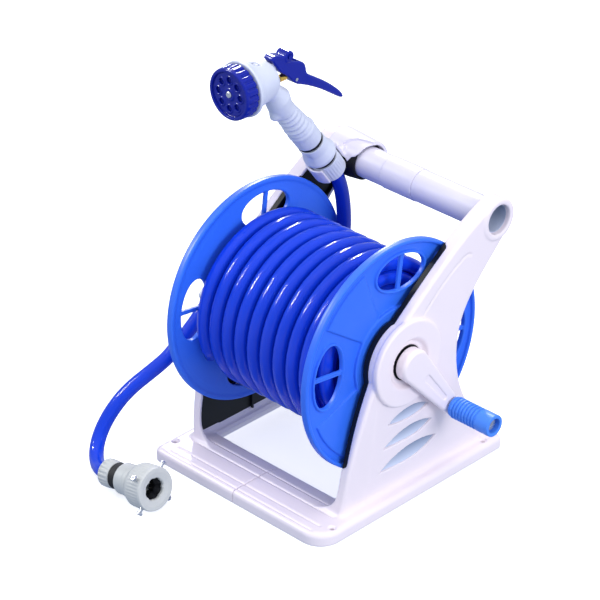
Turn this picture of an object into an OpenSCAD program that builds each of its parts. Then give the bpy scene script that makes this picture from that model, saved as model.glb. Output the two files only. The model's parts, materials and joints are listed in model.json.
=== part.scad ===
// Free-standing garden hose reel: two white side frames on a flat base, a blue
// drum with a 20 m hose, a crank, a carrying handle, a spray nozzle in a clip and
// an inlet hose with a tap connector.  Millimetres, +Z up, +X along the drum axle
// towards the crank, -Y towards the front board.  The origin is on the floor at
// the centre of the four screw holes in the base.

/* [Base] */
// Width of the base across the axle
base_w = 276; // [270:1:290]
// Depth of the base from front to rear
base_d = 310; // [300:1:330]
// Height of the boards and side plinths
base_h = 17; // [14:1:22]
// Depth of the front board
front_board_d = 77; // [70:1:84]
// Depth of the rear board
rear_board_d = 44; // [36:1:52]
// Radius of the base's front right corner
front_corner_r = 28; // [20:1:34]
// Radius of the base's front left corner
left_corner_r = 9; // [8:1:28]
// Distance between the screw holes across the axle
screw_gap_x = 258; // [256:1:260]
// Distance between the screw holes from front to rear
screw_gap_y = 256; // [240:1:262]
// Diameter of the screw holes
screw_hole_d = 5.5; // [4:0.5:6]

/* [Side frames] */
// Distance of the outer face of a side frame from the middle
panel_x = 134; // [132:1:136]
// Depth of the white shell's rim
panel_rim = 13; // [12:1:14]
// Thickness of the white shell's wall
panel_wall = 5; // [4:0.5:6]
// Radius of the round boss at the axle
boss_r = 53; // [48:1:56]
// Radius of the dished recess in the boss
recess_r = 32; // [28:1:36]

/* [Handle] */
// Distance of the handle behind the middle
handle_y = 136; // [130:1:140]
// Height of the handle's centre
handle_z = 312; // [306:1:318]
// Diameter of the handle tube
handle_d = 39; // [36:1:40]

/* [Drum] */
// Distance of the axle from the middle, negative towards the front
axle_y = -13; // [-16:1:-10]
// Height of the axle
axle_z = 187; // [184:1:190]
// Diameter of the axle
axle_d = 18; // [16:1:20]
// Diameter of the flanges
flange_d = 280; // [270:1:284]
// Distance of a flange's outer face from the middle
flange_x = 112; // [111:0.5:113]
// Diameter of the drum's core
core_d = 80; // [70:1:84]
// Number of round windows in a flange
window_count = 4; // [3:1:5]

/* [Hose] */
// Outer diameter of the hose
hose_d = 17.5; // [16:0.5:18]
// Outer diameter of the wound hose
winding_d = 220; // [200:1:224]
// Half of the wound hose's width
winding_half = 102; // [98:1:103]

/* [Crank] */
// Distance from the axle to the crank grip
crank_r = 102; // [95:1:106]
// Angle of the crank below the rear horizontal
crank_angle = 51; // [30:1:70]
// Diameter of the crank grip
crank_grip_d = 27; // [24:1:30]
// Length of the crank grip
crank_grip_len = 61; // [50:1:70]

/* [Nozzle] */
// Distance of the nozzle's middle plane from the centre, to the left
nozzle_x = 92; // [91:0.5:93]
// Angle of the nozzle's grip below the horizontal
grip_angle = 53.5; // [50:0.5:56]
// Height of the spray head's axis
head_z = 462; // [460:0.5:464]
// Diameter of the spray dial
dial_d = 64; // [58:1:68]
// Diameter of the hose nut
nut_d = 36.5; // [34:0.5:37]

/* [Tap connector] */
// Diameter of the tap connector's cap
cap_d = 54; // [48:1:56]
// Diameter of the opening for the tap
tap_bore_d = 24; // [20:1:26]

/* [Hidden] */
$fn = 64;
run_gap = 0.08;          // radial running clearance of shafts
seam_x = -5;             // where the two halves of the base meet
shell_in = panel_x - panel_rim;
plinth_in = 121;
plinth_out = base_w / 2;
web_in = 114.5;          // inner face of the dark ribbed web
apex_r = 25.5;
axle_r = axle_d / 2;
handle_r = handle_d / 2;
sleeve_x0 = -33;
sleeve_x1 = 15;
winding_r = winding_d / 2;
core_r = core_d / 2;
hose_r = hose_d / 2;
flange_r = flange_d / 2;
plate_in = 104;          // inner face of a flange's plate
plate_t = 3;
window_r = 102.5;        // distance of a window's centre from the axle
window_a = 39;           // half its length along the rim
window_b = 22;           // half its height along the radius
window_turn = 82.5;
crank_y = axle_y + crank_r * cos(crank_angle);
crank_z = axle_z - crank_r * sin(crank_angle);
crank_x0 = 140;
crank_x1 = 148.5;
grip_x0 = 150;
// The nozzle grip's axis starts at the ring between grip and connector
ring_y = 45.8;
ring_z = 379.4;
collar_s0 = 25;
collar_s1 = 54;
ring_s1 = 62;
nut_s1 = 89;
clip_s0 = 60;
clip_s1 = 84;
pivot_y = 20;
pivot_z = 481.5;
link_y = 31.3;
link_z = 449.7;
stem_z = 455;
inlet_x = 146;           // outer end of the hollow axle, on the left
elbow_x = -155;          // middle of the inlet elbow
elbow_drop = 38;         // its outlet points forwards and this far below the horizontal
tap_x0 = -136;           // start of the tap connector's nut
tap_y = -229;
tap_z = 17;
tap_tilt = 9.6;            // the cap is wider than the nut, so the axis rises

// Smooth stretch of outline between two points with two control points
function bez(a, b, c, d, n = 12) = [for (i = [0:n]) let (t = i / n)
    a * pow(1 - t, 3) + b * 3 * t * pow(1 - t, 2) + c * 3 * t * t * (1 - t) + d * pow(t, 3)];
function arc(c, r, a0, a1, n = 16) = [for (i = [0:n]) let (a = a0 + (a1 - a0) * i / n)
    c + r * [cos(a), sin(a)]];

hub = [axle_y, axle_z];
apex = [handle_y, handle_z];
panel_outline = concat(
    bez([-108, 8], [-104, 62], [-91, 120], [-65, 174]),
    arc(hub, boss_r, 191, 106, 20),
    bez([-21, 238], [20, 272], [70, 312], [122.5, 333.6]),
    arc(apex, apex_r, 120, -44, 18),
    bez([152, 291.5], [128, 262], [76, 228], [74, 178]),
    bez([74, 177], [72, 128], [92, 78], [150, 26]),
    [[151, 8]]);

base_outline = concat(
    arc([-plinth_out + left_corner_r, -base_d / 2 + left_corner_r], left_corner_r, 180, 270, 12),
    arc([plinth_out - front_corner_r, -base_d / 2 + front_corner_r], front_corner_r, 270, 360, 12),
    arc([plinth_out - 8, base_d / 2 - 8], 8, 0, 90, 6),
    arc([-plinth_out + 8, base_d / 2 - 8], 8, 90, 180, 6));

// The free hose's routes, in order along the hose
tail_route = [
    [-92, 99, 307.6], [-92, 104.5, 300], [-92, 109, 291], [-92, 113, 279], [-92, 116, 266],
    [-92, 118, 252], [-92, 119, 238], [-92, 119, 224], [-92, 117.5, 210], [-92, 114.5, 197],
    [-92, 110.5, 183], [-92, 107, 169], [-92, 102.5, 156], [-92, 98.5, 143]];
inlet_route = [
    [-155, -46, 161], [-155, -57, 152.5], [-155, -69, 143], [-155.5, -83, 132.5], [-156.5, -97, 122],
    [-159, -111, 111], [-163, -124, 102.5], [-168, -137, 94], [-174, -151, 84], [-179.5, -164, 72],
    [-184, -175.5, 58], [-187, -184.5, 44.5], [-188, -192.5, 31.5], [-185.5, -200.5, 20.5],
    [-179, -208.5, 12.5], [-168.5, -216.5, 9.6], [-157, -223, 10.8], [-146.5, -227.5, 14], [-136, -229, 17]];

function unit(v) = v / norm(v);
// A tube of one closed skin swept along a route
module tube(route, r, sides = 10) {
    last = len(route) - 1;
    rings = [for (i = [0:last])
        let (t = unit(route[min(i + 1, last)] - route[max(i - 1, 0)]),
             side = unit(cross(t, [0.13, 0.2, 0.97])),
             up = cross(side, t))
        for (j = [0:sides - 1]) let (a = 360 * j / sides)
            route[i] + r * (side * cos(a) + up * sin(a))];
    faces = concat(
        [[for (j = [0:sides - 1]) j]],
        [for (i = [0:last - 1]) for (j = [0:sides - 1]) let (k = (j + 1) % sides)
            each [[i * sides + j, (i + 1) * sides + j, (i + 1) * sides + k],
                  [i * sides + j, (i + 1) * sides + k, i * sides + k]]],
        [[for (j = [sides - 1:-1:0]) last * sides + j]]);
    polyhedron(rings, faces, convexity = 10);
}

// Places children drawn around +Z so that they run along +X
module along_x(x, y, z) { translate([x, y, z]) rotate([0, 90, 0]) children(); }
module rod_x(x0, x1, y, z, r) { along_x(x0, y, z) cylinder(h = x1 - x0, r = r); }
// Extrudes an outline drawn in Y and Z from x0 to x1
module slab_x(x0, x1) {
    translate([x0, 0, 0]) rotate([90, 0, 90]) linear_extrude(height = x1 - x0) children();
}
// Places children drawn around +Z on the nozzle grip's axis, a distance s below its ring
module on_grip(s = 0) {
    translate([-nozzle_x, ring_y, ring_z]) rotate([-90 - grip_angle, 0, 0])
        translate([0, 0, s]) children();
}
module tube_s(s0, s1, r_out, r_in) {
    on_grip(s0) difference() {
        cylinder(h = s1 - s0, r = r_out);
        translate([0, 0, -1]) cylinder(h = s1 - s0 + 2, r = r_in);
    }
}
// Places children drawn around +Z on the spray head's axis, a distance y from the middle
module on_head(y) { translate([-nozzle_x, y, head_z]) rotate([-90, 0, 0]) children(); }
// Places children drawn around +Z on the tap connector's axis
module on_tap(s = 0) {
    translate([tap_x0, tap_y, tap_z]) rotate([0, 90 - tap_tilt, 0]) translate([0, 0, s]) children();
}
module tap_tube(s0, s1, r_out, r_in) {
    on_tap(s0) difference() {
        cylinder(h = s1 - s0, r = r_out);
        translate([0, 0, -1]) cylinder(h = s1 - s0 + 2, r = r_in);
    }
}

// ---- side frames and base ----
module panel_shape(inset = 0) { offset(delta = -inset) polygon(panel_outline); }

module crescent(y, z, half, rise) {
    slab_x(panel_x - panel_wall - 2, panel_x + 1)
        polygon(concat(bez([y - half, z - rise], [y - half * 0.4, z + rise], [y + half * 0.4, z + rise * 1.6],
                           [y + half, z + rise * 0.2]),
                       bez([y + half, z + rise * 0.2], [y + half * 0.5, z - rise * 0.9],
                           [y - half * 0.5, z - rise], [y - half, z - rise])));
}

module side_panel() {
    difference() {
        union() {
            slab_x(shell_in, panel_x) intersection() {
                panel_shape();
                translate([-200, base_h]) square([400, 400]);
            }
            rod_x(shell_in, panel_x + 4, axle_y, axle_z, boss_r);
        }
        // hollow back, left open for the web, and the dished recess on the front
        difference() {
            slab_x(shell_in - 1, panel_x - panel_wall) intersection() {
                panel_shape(panel_wall);
                translate([-200, base_h + 4]) square([400, 400]);
            }
            rod_x(shell_in - 2, panel_x, axle_y, axle_z, 28);
        }
        rod_x(panel_x - 1, panel_x + 5, axle_y, axle_z, recess_r);
        rod_x(shell_in - 1, panel_x + 5, axle_y, axle_z, 21.5);
        rod_x(shell_in - 1, panel_x + 1, handle_y, handle_z, handle_r - 1.2);
        for (i = [0:2]) crescent(-6 - 1.5 * i, 117 - 28 * i, 34 + 6.5 * i, 8 + 1.5 * i);
    }
}

module plinth() {
    difference() {
        linear_extrude(height = base_h) intersection() {
            polygon(base_outline);
            translate([plinth_in, -200]) square([60, 400]);
        }
        for (s = [-1, 1]) translate([screw_gap_x / 2, s * screw_gap_y / 2, -1]) {
            cylinder(h = base_h + 2, d = screw_hole_d);
            translate([0, 0, base_h - 1.5]) cylinder(h = 3, d1 = screw_hole_d, d2 = screw_hole_d + 6);
        }
    }
}

module side_frame() { color([0.92, 0.92, 0.97]) union() { side_panel(); plinth(); } }
module left_frame() { mirror([1, 0, 0]) side_frame(); }
module right_frame() { side_frame(); }

// Dark ribbed panel that closes the inside of a side frame
module side_web() {
    color([0.07, 0.08, 0.09]) difference() {
        union() {
            slab_x(shell_in - 3, shell_in) intersection() {
                panel_shape(1.5);
                translate([-200, base_h + 1]) square([400, 400]);
            }
            intersection() {
                slab_x(web_in, shell_in - 2) intersection() {
                    panel_shape(1.5);
                    translate([-200, base_h + 1]) square([400, 400]);
                }
                union() {
                    difference() {
                        slab_x(web_in, shell_in) panel_shape(1.5);
                        slab_x(web_in - 1, shell_in + 1) panel_shape(5);
                    }
                    for (a = [20:40:340]) translate([0, axle_y, axle_z]) rotate([a, 0, 0])
                        translate([web_in, -1.2, 30]) cube([7, 2.4, 160]);
                    rod_x(web_in, shell_in, axle_y, axle_z, 34);
                    rod_x(web_in, shell_in, handle_y, handle_z, apex_r - 1.5);
                }
            }
        }
        rod_x(web_in - 1, shell_in + 1, axle_y, axle_z, 22);
        rod_x(web_in - 1, shell_in + 1, handle_y, handle_z, handle_r + 0.1);
    }
}
module left_web() { mirror([1, 0, 0]) side_web(); }
module right_web() { side_web(); }

// Ridged hollow board between x0 and x1, y0 and y1
module board(x0, x1, y0, y1, ridges) {
    color([0.92, 0.92, 0.97]) difference() {
        union() {
            linear_extrude(height = base_h - 1) intersection() {
                polygon(base_outline);
                translate([x0, y0]) square([x1 - x0, y1 - y0]);
            }
            for (r = ridges) translate([x0 + 3, r[0], 0]) cube([x1 - x0 - 6, r[1] - r[0], base_h]);
        }
        translate([x0 + (x0 < -50 ? 5 : -1), y0 + 6, -1]) cube([x1 - x0 - 4, y1 - y0 - 12, base_h - 3]);
    }
}
front_y1 = -base_d / 2 + front_board_d;
rear_y0 = base_d / 2 - rear_board_d;
front_ridges = [[-147, -135.5], [-134.5, -112.5], [-111.5, -98]];
rear_ridges = [[116, 128], [129.5, 145]];
module front_board_left() { board(-plinth_in, seam_x - 0.15, -base_d / 2, front_y1, front_ridges); }
module front_board_right() { board(seam_x + 0.15, plinth_in, -base_d / 2, front_y1, front_ridges); }
module rear_board_left() { board(-plinth_in, seam_x - 0.15, rear_y0, base_d / 2, rear_ridges); }
module rear_board_right() { board(seam_x + 0.15, plinth_in, rear_y0, base_d / 2, rear_ridges); }

// Plates under the boards that tie the two halves together, and their screws
joint_plates = [[(-base_d / 2 + front_y1) / 2, 40], [(rear_y0 + base_d / 2) / 2, 20]];
module board_plates() {
    color([0.25, 0.26, 0.28]) for (p = joint_plates) difference() {
        translate([seam_x - 30, p[0] - p[1] / 2, 9.9]) cube([60, p[1], 3]);
        for (s = [-1, 1]) translate([seam_x + s * 20, p[0], 9]) cylinder(h = 5, r = 2.1);
    }
}
module board_screws() {
    color([0.75, 0.76, 0.78]) for (p = joint_plates, s = [-1, 1]) translate([seam_x + s * 20, p[0], 0]) {
        translate([0, 0, 7.3]) cylinder(h = 2.5, r = 4);
        translate([0, 0, 7.3]) cylinder(h = 5.6, r = 2);
    }
}

// ---- handle ----
module connector_channel(r, s0 = -10, s1 = 140) { on_grip(s0) cylinder(h = s1 - s0, r = r); }
module handle_tube(x0, x1, r, wall) {
    color([0.92, 0.92, 0.97]) difference() {
        rod_x(x0, x1, handle_y, handle_z, r);
        rod_x(x0 - 1, x1 + 1, handle_y, handle_z, r - wall);
        connector_channel(nut_d / 2 + 4.6);
    }
}
module handle_left() { handle_tube(-panel_x + panel_wall + 1, sleeve_x0 - 0.2, handle_r, 2.5); }
module handle_right() { handle_tube(sleeve_x1 + 0.2, panel_x - panel_wall - 1, handle_r, 2.5); }
module handle_sleeve() { handle_tube(sleeve_x0, sleeve_x1, handle_r + 0.7, 3); }

// Dark socket around the handle's left end
module holder_socket() {
    color([0.07, 0.08, 0.09]) difference() {
        rod_x(-web_in + 0.2, -80, handle_y, handle_z, 25);
        rod_x(-web_in - 1, -79, handle_y, handle_z, handle_r + 0.1);
        connector_channel(nut_d / 2 + 4.8);
    }
}

// White hood over the socket and the open ring that grips the hose nut
hood_r0 = 30.5;
hood_r1 = 26;
clip_r = nut_d / 2 + 0.8;
module nozzle_holder() {
    color([0.92, 0.92, 0.97]) difference() {
        union() {
            difference() {
                along_x(-web_in + 0.2, handle_y, handle_z)
                    cylinder(h = web_in - 60.2, r1 = hood_r0, r2 = hood_r1);
                along_x(-web_in - 1, handle_y, handle_z)
                    cylinder(h = web_in - 58, r = 25.2);
                translate([-120, 60, 200]) cube([80, 150, 106]);
            }
            rod_x(-66, -60, handle_y, handle_z, hood_r1);
            tube_s(clip_s0, clip_s1, clip_r + 3.4, clip_r);
            intersection() {
                rod_x(-web_in + 0.2, -nozzle_x, 96, 320, 28);
                tube_s(clip_s0, clip_s1, 60, clip_r + 1);
            }
        }
        connector_channel(clip_r);
        rod_x(-web_in - 1, -59, handle_y, handle_z, 25.2 - 5.6);
        // the ring is open towards the crank side, over a sector from -45 to 60 degrees
        on_grip(clip_s0 - 1) linear_extrude(height = 40)
            polygon([[0, 0], [30, 30], [45, 0], [45, -17], [20, -34.6]]);
        rod_x(-web_in - 1, -66.1, handle_y, handle_z, 25.2);
    }
}

// ---- drum ----
module oval(a, b, n = 40) { polygon([for (i = [0:n - 1]) [a * cos(360 * i / n), b * sin(360 * i / n)]]); }

module flange_half() {
    color([0.10, 0.25, 0.92]) translate([0, axle_y, axle_z]) difference() {
        union() {
            rotate([0, 90, 0]) rotate_extrude($fn = 96) polygon([
                [14, plate_in], [flange_r - 7, plate_in], [flange_r - 4, plate_in - 1], [flange_r - 1, plate_in],
                [flange_r, plate_in + 3], [flange_r, flange_x - 1], [flange_r - 1, flange_x],
                [flange_r - 2.6, flange_x], [flange_r - 3.5, flange_x - 3], [flange_r - 7, plate_in + plate_t],
                [46, plate_in + plate_t], [46, plate_in + 6], [34, plate_in + 6], [34, plate_in + plate_t],
                [18, plate_in + plate_t], [18, flange_x], [axle_r + 0.02, flange_x], [axle_r + 0.02, plate_in]]);
            for (k = [0:window_count - 1]) rotate([window_turn + 360 / window_count * k, 0, 0])
                translate([0, window_r, 0]) slab_x(plate_in, plate_in + 6) oval(window_b + 3, window_a + 3);
            for (k = [0:window_count - 1]) rotate([window_turn + 360 / window_count * (k + 0.5), 0, 0])
                slab_x(plate_in, plate_in + plate_t + 1.2)
                    polygon([[47, -15], [118, -36], [124, 0], [118, 36], [47, 15]]);
        }
        for (k = [0:window_count - 1]) rotate([window_turn + 360 / window_count * k, 0, 0])
            translate([0, window_r, 0]) slab_x(plate_in - 2, plate_in + 8) oval(window_b, window_a);
        for (k = [0:3]) rotate([90 * k + 20, 0, 0]) translate([plate_in - 1, 37, 0]) rotate([0, 90, 0])
            cylinder(h = 10, r = 2.1);
    }
    color([0.10, 0.25, 0.92]) translate([0, axle_y, axle_z])
        for (k = [0:window_count - 1]) rotate([window_turn + 360 / window_count * k, 0, 0])
            translate([plate_in + 0.5, window_r - window_b - 0.6, -2.5]) cube([4, 2 * window_b + 1.2, 5]);
}
module right_flange() { flange_half(); }
module left_flange() { mirror([1, 0, 0]) flange_half(); }

module drum_core() {
    color([0.10, 0.25, 0.92]) difference() {
        rod_x(-plate_in, plate_in, axle_y, axle_z, core_r);
        rod_x(-plate_in - 1, plate_in + 1, axle_y, axle_z, core_r - 4);
        translate([-58, axle_y, axle_z + core_r]) cube([40, 44, 20], center = true);
    }
}
module flange_screws() {
    color([0.75, 0.76, 0.78]) for (m = [0, 1]) mirror([m, 0, 0]) translate([0, axle_y, axle_z])
        for (k = [0:3]) rotate([90 * k + 20, 0, 0]) translate([0, 37, 0]) rotate([0, 90, 0]) {
            translate([0, 0, plate_in]) cylinder(h = 6.1, r = 2);
            translate([0, 0, plate_in + 6.05]) cylinder(h = 2, r = 4);
        }
}
module axle() {
    color([0.72, 0.73, 0.75]) difference() {
        rod_x(-inlet_x, 139.4, axle_y, axle_z, axle_r);
        rod_x(-inlet_x - 1, -50, axle_y, axle_z, 5);
        translate([-56, axle_y, axle_z]) cylinder(h = 12, r = 4);
    }
}
// Elbow and nut that take water from the axle to the inner end of the hose
module core_outlet() {
    color([0.85, 0.85, 0.88]) difference() {
        union() {
            rod_x(-70, -42, axle_y, axle_z, 14);
            translate([-56, axle_y, axle_z]) cylinder(h = 24, r = 8);
        }
        rod_x(-71, -41, axle_y, axle_z, axle_r + 0.02);
        translate([-56, axle_y, axle_z]) cylinder(h = 26, r = 4);
    }
}
module core_nut() {
    color([0.85, 0.85, 0.88]) translate([-56, axle_y, axle_z + 18.5]) difference() {
        cylinder(h = 14, r = 13, $fn = 32);
        translate([0, 0, -1]) cylinder(h = 16, r = 8.02);
    }
}
module hose_winding() {
    color([0.06, 0.2, 0.9]) translate([0, axle_y, axle_z]) rotate([0, 90, 0]) rotate_extrude($fn = 72)
        translate([core_r + 0.4, -winding_half]) square([winding_r - core_r - 0.4, 2 * winding_half]);
}

// Fixed bushings in the side frames that carry the axle
module bushing() {
    color([0.12, 0.12, 0.13]) difference() {
        union() {
            rod_x(web_in + 0.2, panel_x - 1.2, axle_y, axle_z, 21.4);
            rod_x(web_in - 1.0, web_in + 1, axle_y, axle_z, 21.4);
        }
        rod_x(web_in - 3, panel_x, axle_y, axle_z, axle_r + run_gap);
    }
}
module right_bushing() { bushing(); }
module left_bushing() { mirror([1, 0, 0]) bushing(); }

// ---- crank ----
// Outline round two circles and the lines that touch both, from the one at a to the one at b
function drop_shape(a, r_a, b, r_b) =
    let (line = b - a, turn = atan2(line[1], line[0]), side = acos((r_a - r_b) / norm(line)))
    concat(arc(a, r_a, turn + side, turn + 360 - side, 32), arc(b, r_b, turn - side, turn + side, 20));
module crank_arm() {
    color([0.92, 0.92, 0.97]) difference() {
        union() {
            rod_x(panel_x + 0.2, crank_x0 + 1, axle_y, axle_z, 19.6);
            slab_x(crank_x0, crank_x1) polygon(drop_shape(hub, 20, [crank_y, crank_z], 11.5));
        }
        rod_x(panel_x - 1, 139.5, axle_y, axle_z, axle_r + 0.02);
        rod_x(139, crank_x1 + 1, axle_y, axle_z, 2.6);
        rod_x(crank_x0 - 1, crank_x1 + 1, crank_y, crank_z, 4.02);
        slab_x(crank_x1 - 1.4, crank_x1 + 1) polygon(drop_shape(
            hub + 0.35 * [crank_y - axle_y, crank_z - axle_z], 5,
            hub + 0.75 * [crank_y - axle_y, crank_z - axle_z], 3));
    }
}
module crank_screw() {
    color([0.72, 0.73, 0.75]) difference() {
        rod_x(139.5, crank_x1, axle_y, axle_z, 2.5);
        rod_x(crank_x1 - 1.5, crank_x1 + 1, axle_y, axle_z, 1);
    }
}
module crank_pin() {
    color([0.75, 0.76, 0.78]) {
        rod_x(crank_x0, grip_x0 + crank_grip_len - 7, crank_y, crank_z, 4);
        rod_x(grip_x0 + crank_grip_len - 7, grip_x0 + crank_grip_len - 4.5, crank_y, crank_z, 6.5);
    }
}
module crank_grip() {
    r = crank_grip_d / 2;
    color([0.25, 0.5, 0.95]) along_x(grip_x0, crank_y, crank_z) difference() {
        rotate_extrude() polygon(concat(
            [[4 + run_gap, 0], [r - 2, 0], [r - 1, 1.5]],
            [for (i = [0:7]) each [[r - 1.2, 3 + 4.6 * i], [r, 3.6 + 4.6 * i], [r, 6.2 + 4.6 * i], [r - 1.2, 6.8 + 4.6 * i]]],
            [[r - 0.3, 40.5], [r, 41], [r, crank_grip_len - 1], [r - 1, crank_grip_len], [9, crank_grip_len],
             [9, crank_grip_len - 7.4], [4 + run_gap, crank_grip_len - 7.4]]));
    }
}

// ---- inlet ----
// Places children drawn around +Z on the elbow's outlet, a distance s from its middle
module on_outlet(s = 0) {
    translate([elbow_x, axle_y, axle_z]) rotate([90 + elbow_drop, 0, 0]) translate([0, 0, s]) children();
}
module inlet_elbow() {
    color([0.85, 0.86, 0.9]) difference() {
        union() {
            rod_x(elbow_x - 11, -inlet_x, axle_y, axle_z, 14);
            rod_x(-inlet_x - 3, -panel_x + 1.1, axle_y, axle_z, 17);
            on_outlet(2) cylinder(h = 28, r = 9);
        }
        rod_x(-inlet_x - 0.5, -panel_x + 2, axle_y, axle_z, axle_r + run_gap);
        rod_x(elbow_x - 5, -inlet_x, axle_y, axle_z, 5);
        on_outlet(-1) cylinder(h = 32, r = 4.5);
        along_x(-inlet_x + 2, axle_y, axle_z) cylinder(h = 3, r = axle_r + 3);
    }
}
module inlet_nut() {
    color([0.85, 0.86, 0.9]) on_outlet(20) difference() {
        cylinder(h = 22, r = 15.5);
        translate([0, 0, -1]) cylinder(h = 11.2, r = 9.02);
        translate([0, 0, 9]) cylinder(h = 14, r = 4.5);
    }
}
module inlet_oring() {
    color([0.05, 0.05, 0.05]) along_x(-inlet_x + 3.5, axle_y, axle_z) rotate_extrude()
        translate([axle_r + run_gap + 1.4, 0]) circle(r = 1.35, $fn = 24);
}
module inlet_hose() { color([0.06, 0.2, 0.9]) tube(inlet_route, hose_r); }

// ---- tap connector on the floor ----
tap_grey = [0.80, 0.82, 0.83];
module tap_nut() {
    color(tap_grey) on_tap() difference() {
        union() {
            cylinder(h = 17, r = 16.2);
            for (k = [0:17]) rotate([0, 0, 20 * k]) translate([15.6, -1.2, 1]) cube([1.4, 2.4, 15]);
        }
        translate([0, 0, -1]) cylinder(h = 19, r = 9);
    }
}
module tap_ring() { color([0.06, 0.06, 0.06]) tap_tube(17.1, 29.5, 16, 9); }
module tap_stem() { color(tap_grey) tap_tube(29.6, 52, 13.5, 9); }
module tap_collar() {
    color(tap_grey) on_tap(30) rotate_extrude() polygon([[16.4, 0], [19.6, 0], [20, 1], [20, 20], [19.4, 21],
                                                         [14, 21], [14, 6], [16.4, 6]]);
}
module tap_cap() {
    color(tap_grey) on_tap(52.1) difference() {
        union() {
            cylinder(h = 8, r1 = 21, r2 = cap_d / 2);
            translate([0, 0, 8]) cylinder(h = 24, r = cap_d / 2 - 0.8);
            for (k = [0:35]) rotate([0, 0, 10 * k]) translate([cap_d / 2 - 1.2, -1, 9]) cube([1.2, 2, 20]);
        }
        translate([0, 0, -1]) cylinder(h = 12, r = 10);
        translate([0, 0, 10]) cylinder(h = 30, r = tap_bore_d / 2 + 6);
        for (k = [0:3]) rotate([0, 0, 45 + 90 * k]) translate([0, 0, 24]) rotate([0, 90, 0]) cylinder(h = 40, r = 2.02);
    }
}
module tap_rubber() {
    color([0.05, 0.05, 0.05]) on_tap(62.2) difference() {
        cylinder(h = 10, r = tap_bore_d / 2 + 5.9);
        translate([0, 0, -1]) cylinder(h = 12, r = tap_bore_d / 2 - 4);
    }
}
module tap_screws() {
    color([0.7, 0.71, 0.73]) on_tap(76.1) for (k = [0:3]) rotate([0, 0, 45 + 90 * k]) rotate([0, 90, 0]) {
        translate([0, 0, 18.4]) cylinder(h = 13.6, r = 2);
        translate([0, 0, 31]) cylinder(h = 3, r = 3.6);
    }
}

// ---- hose tail and connector ----
module hose_tail() { color([0.05, 0.12, 0.55]) tube(tail_route, hose_r); }
module hose_nut() {
    color([0.88, 0.88, 0.93]) on_grip(ring_s1 + 0.1) difference() {
        union() {
            cylinder(h = nut_s1 - ring_s1 - 0.1, r = nut_d / 2 - 0.8);
            for (k = [0:23]) rotate([0, 0, 15 * k]) translate([nut_d / 2 - 1.4, -1, 1]) cube([1.4, 2, 24]);
        }
        translate([0, 0, -1]) cylinder(h = 30, r = 8.6);
    }
}
module nut_ring() { color([0.06, 0.06, 0.06]) tube_s(collar_s1 + 1, ring_s1, 16.6, 8.6); }
module connector_core() {
    color([0.55, 0.56, 0.58]) union() {
        tube_s(collar_s0 + 2, ring_s1 + 8, 8.5, 5.5);
        tube_s(collar_s0 + 2, collar_s1 + 0.8, 13.4, 8);
    }
}
module release_collar() {
    color([0.90, 0.90, 0.95]) on_grip(collar_s0 + 2) difference() {
        rotate_extrude() polygon([[13.6, 0], [16.6, 0], [16.8, 2], [16.8, 14], [20.4, 23], [20.4, 27], [18.4, 27],
                                  [18.4, 20.5], [13.6, 18]]);
        for (a = [0, 180]) rotate([0, 0, a]) translate([22.5, 0, 13]) sphere(r = 8);
    }
}

// ---- nozzle ----
module nozzle_body() {
    color([0.93, 0.93, 0.98]) difference() {
        union() {
            // head, from the rounded rear end to the bell behind the dial
            on_head(-49.5) rotate_extrude() polygon(concat(
                [[7, 0], [33, 0], [33, 4], [31, 7], [28.5, 14], [25.5, 28], [22.5, 38]],
                arc([13, 41], 9.5, 10, 90, 8), [[7, 50.5]]));
            // grip, with finger ripples on the front
            on_head(-6) cylinder(h = 15.4, r = 8);
            on_grip(-82) rotate_extrude() polygon([[0, 0], [15, 0], [16, 18], [16.5, 36], [15, 56], [15.5, 70],
                                                   [17.2, 80], [17.2, 84], [16.4, 85], [16.4, 104], [0, 104]]);
            for (k = [0:3]) on_grip(-42 + 9 * k) translate([0, 3.2, 0]) rotate_extrude()
                translate([10.6, 0]) circle(r = 4, $fn = 24);
        }
        // water way, spring seat and the rear bore for the stem
        on_grip(-86) cylinder(h = 116, r = 6);
        on_head(-50) cylinder(h = 8, r = 24);
        translate([-nozzle_x, -46, stem_z]) rotate([-90, 0, 0]) cylinder(h = 41, r = 5.5);
        translate([-nozzle_x, -10, stem_z]) rotate([-90, 0, 0]) cylinder(h = 40, r = 3.6);
    }
    // lug that carries the lever
    color([0.93, 0.93, 0.98]) difference() {
        slab_nozzle(-4, 4) polygon([[-14, head_z + 18], [-8, head_z + 8], [7.9, head_z + 8], [14, head_z + 10],
                                    [pivot_y + 5, pivot_z - 4], [pivot_y + 5.5, pivot_z + 2], [pivot_y, pivot_z + 5.6],
                                    [4, head_z + 22]]);
        slab_nozzle(-5, 5) translate([pivot_y, pivot_z]) circle(r = 2.55);
    }
}
// Extrudes a Y-Z outline across the nozzle's middle plane
module slab_nozzle(a, b) { slab_x(-nozzle_x + a, -nozzle_x + b) children(); }
module grip_seal() { color([0.06, 0.06, 0.06]) tube_s(22.2, 25.2, 16.2, 6.2); }
module dial() {
    color([0.05, 0.1, 0.55]) on_head(-69) difference() {
        union() {
            cylinder(h = 19, r = dial_d / 2 - 1);
            for (k = [0:23]) rotate([0, 0, 15 * k]) translate([dial_d / 2 - 2, -2, 1]) cube([2, 4, 17]);
        }
        translate([0, 0, -1]) cylinder(h = 4, r = dial_d / 2 - 5);
        translate([0, 0, -1]) cylinder(h = 30, r = 3.02);
    }
}
module dial_face() {
    color([0.04, 0.08, 0.42]) on_head(-68) difference() {
        cylinder(h = 2, r = dial_d / 2 - 5.1);
        translate([0, 0, -1]) cylinder(h = 4, r = 3.02);
        for (k = [0:8]) rotate([0, 0, 40 * k]) translate([17, 0, -1]) cylinder(h = 4, r = k % 3 == 0 ? 4.2 : 2.4, $fn = 24);
    }
}
module dial_screw() {
    color([0.8, 0.81, 0.83]) on_head(-69.4) {
        cylinder(h = 1.3, r = 4.2);
        cylinder(h = 26, r = 3);
    }
}
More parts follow.
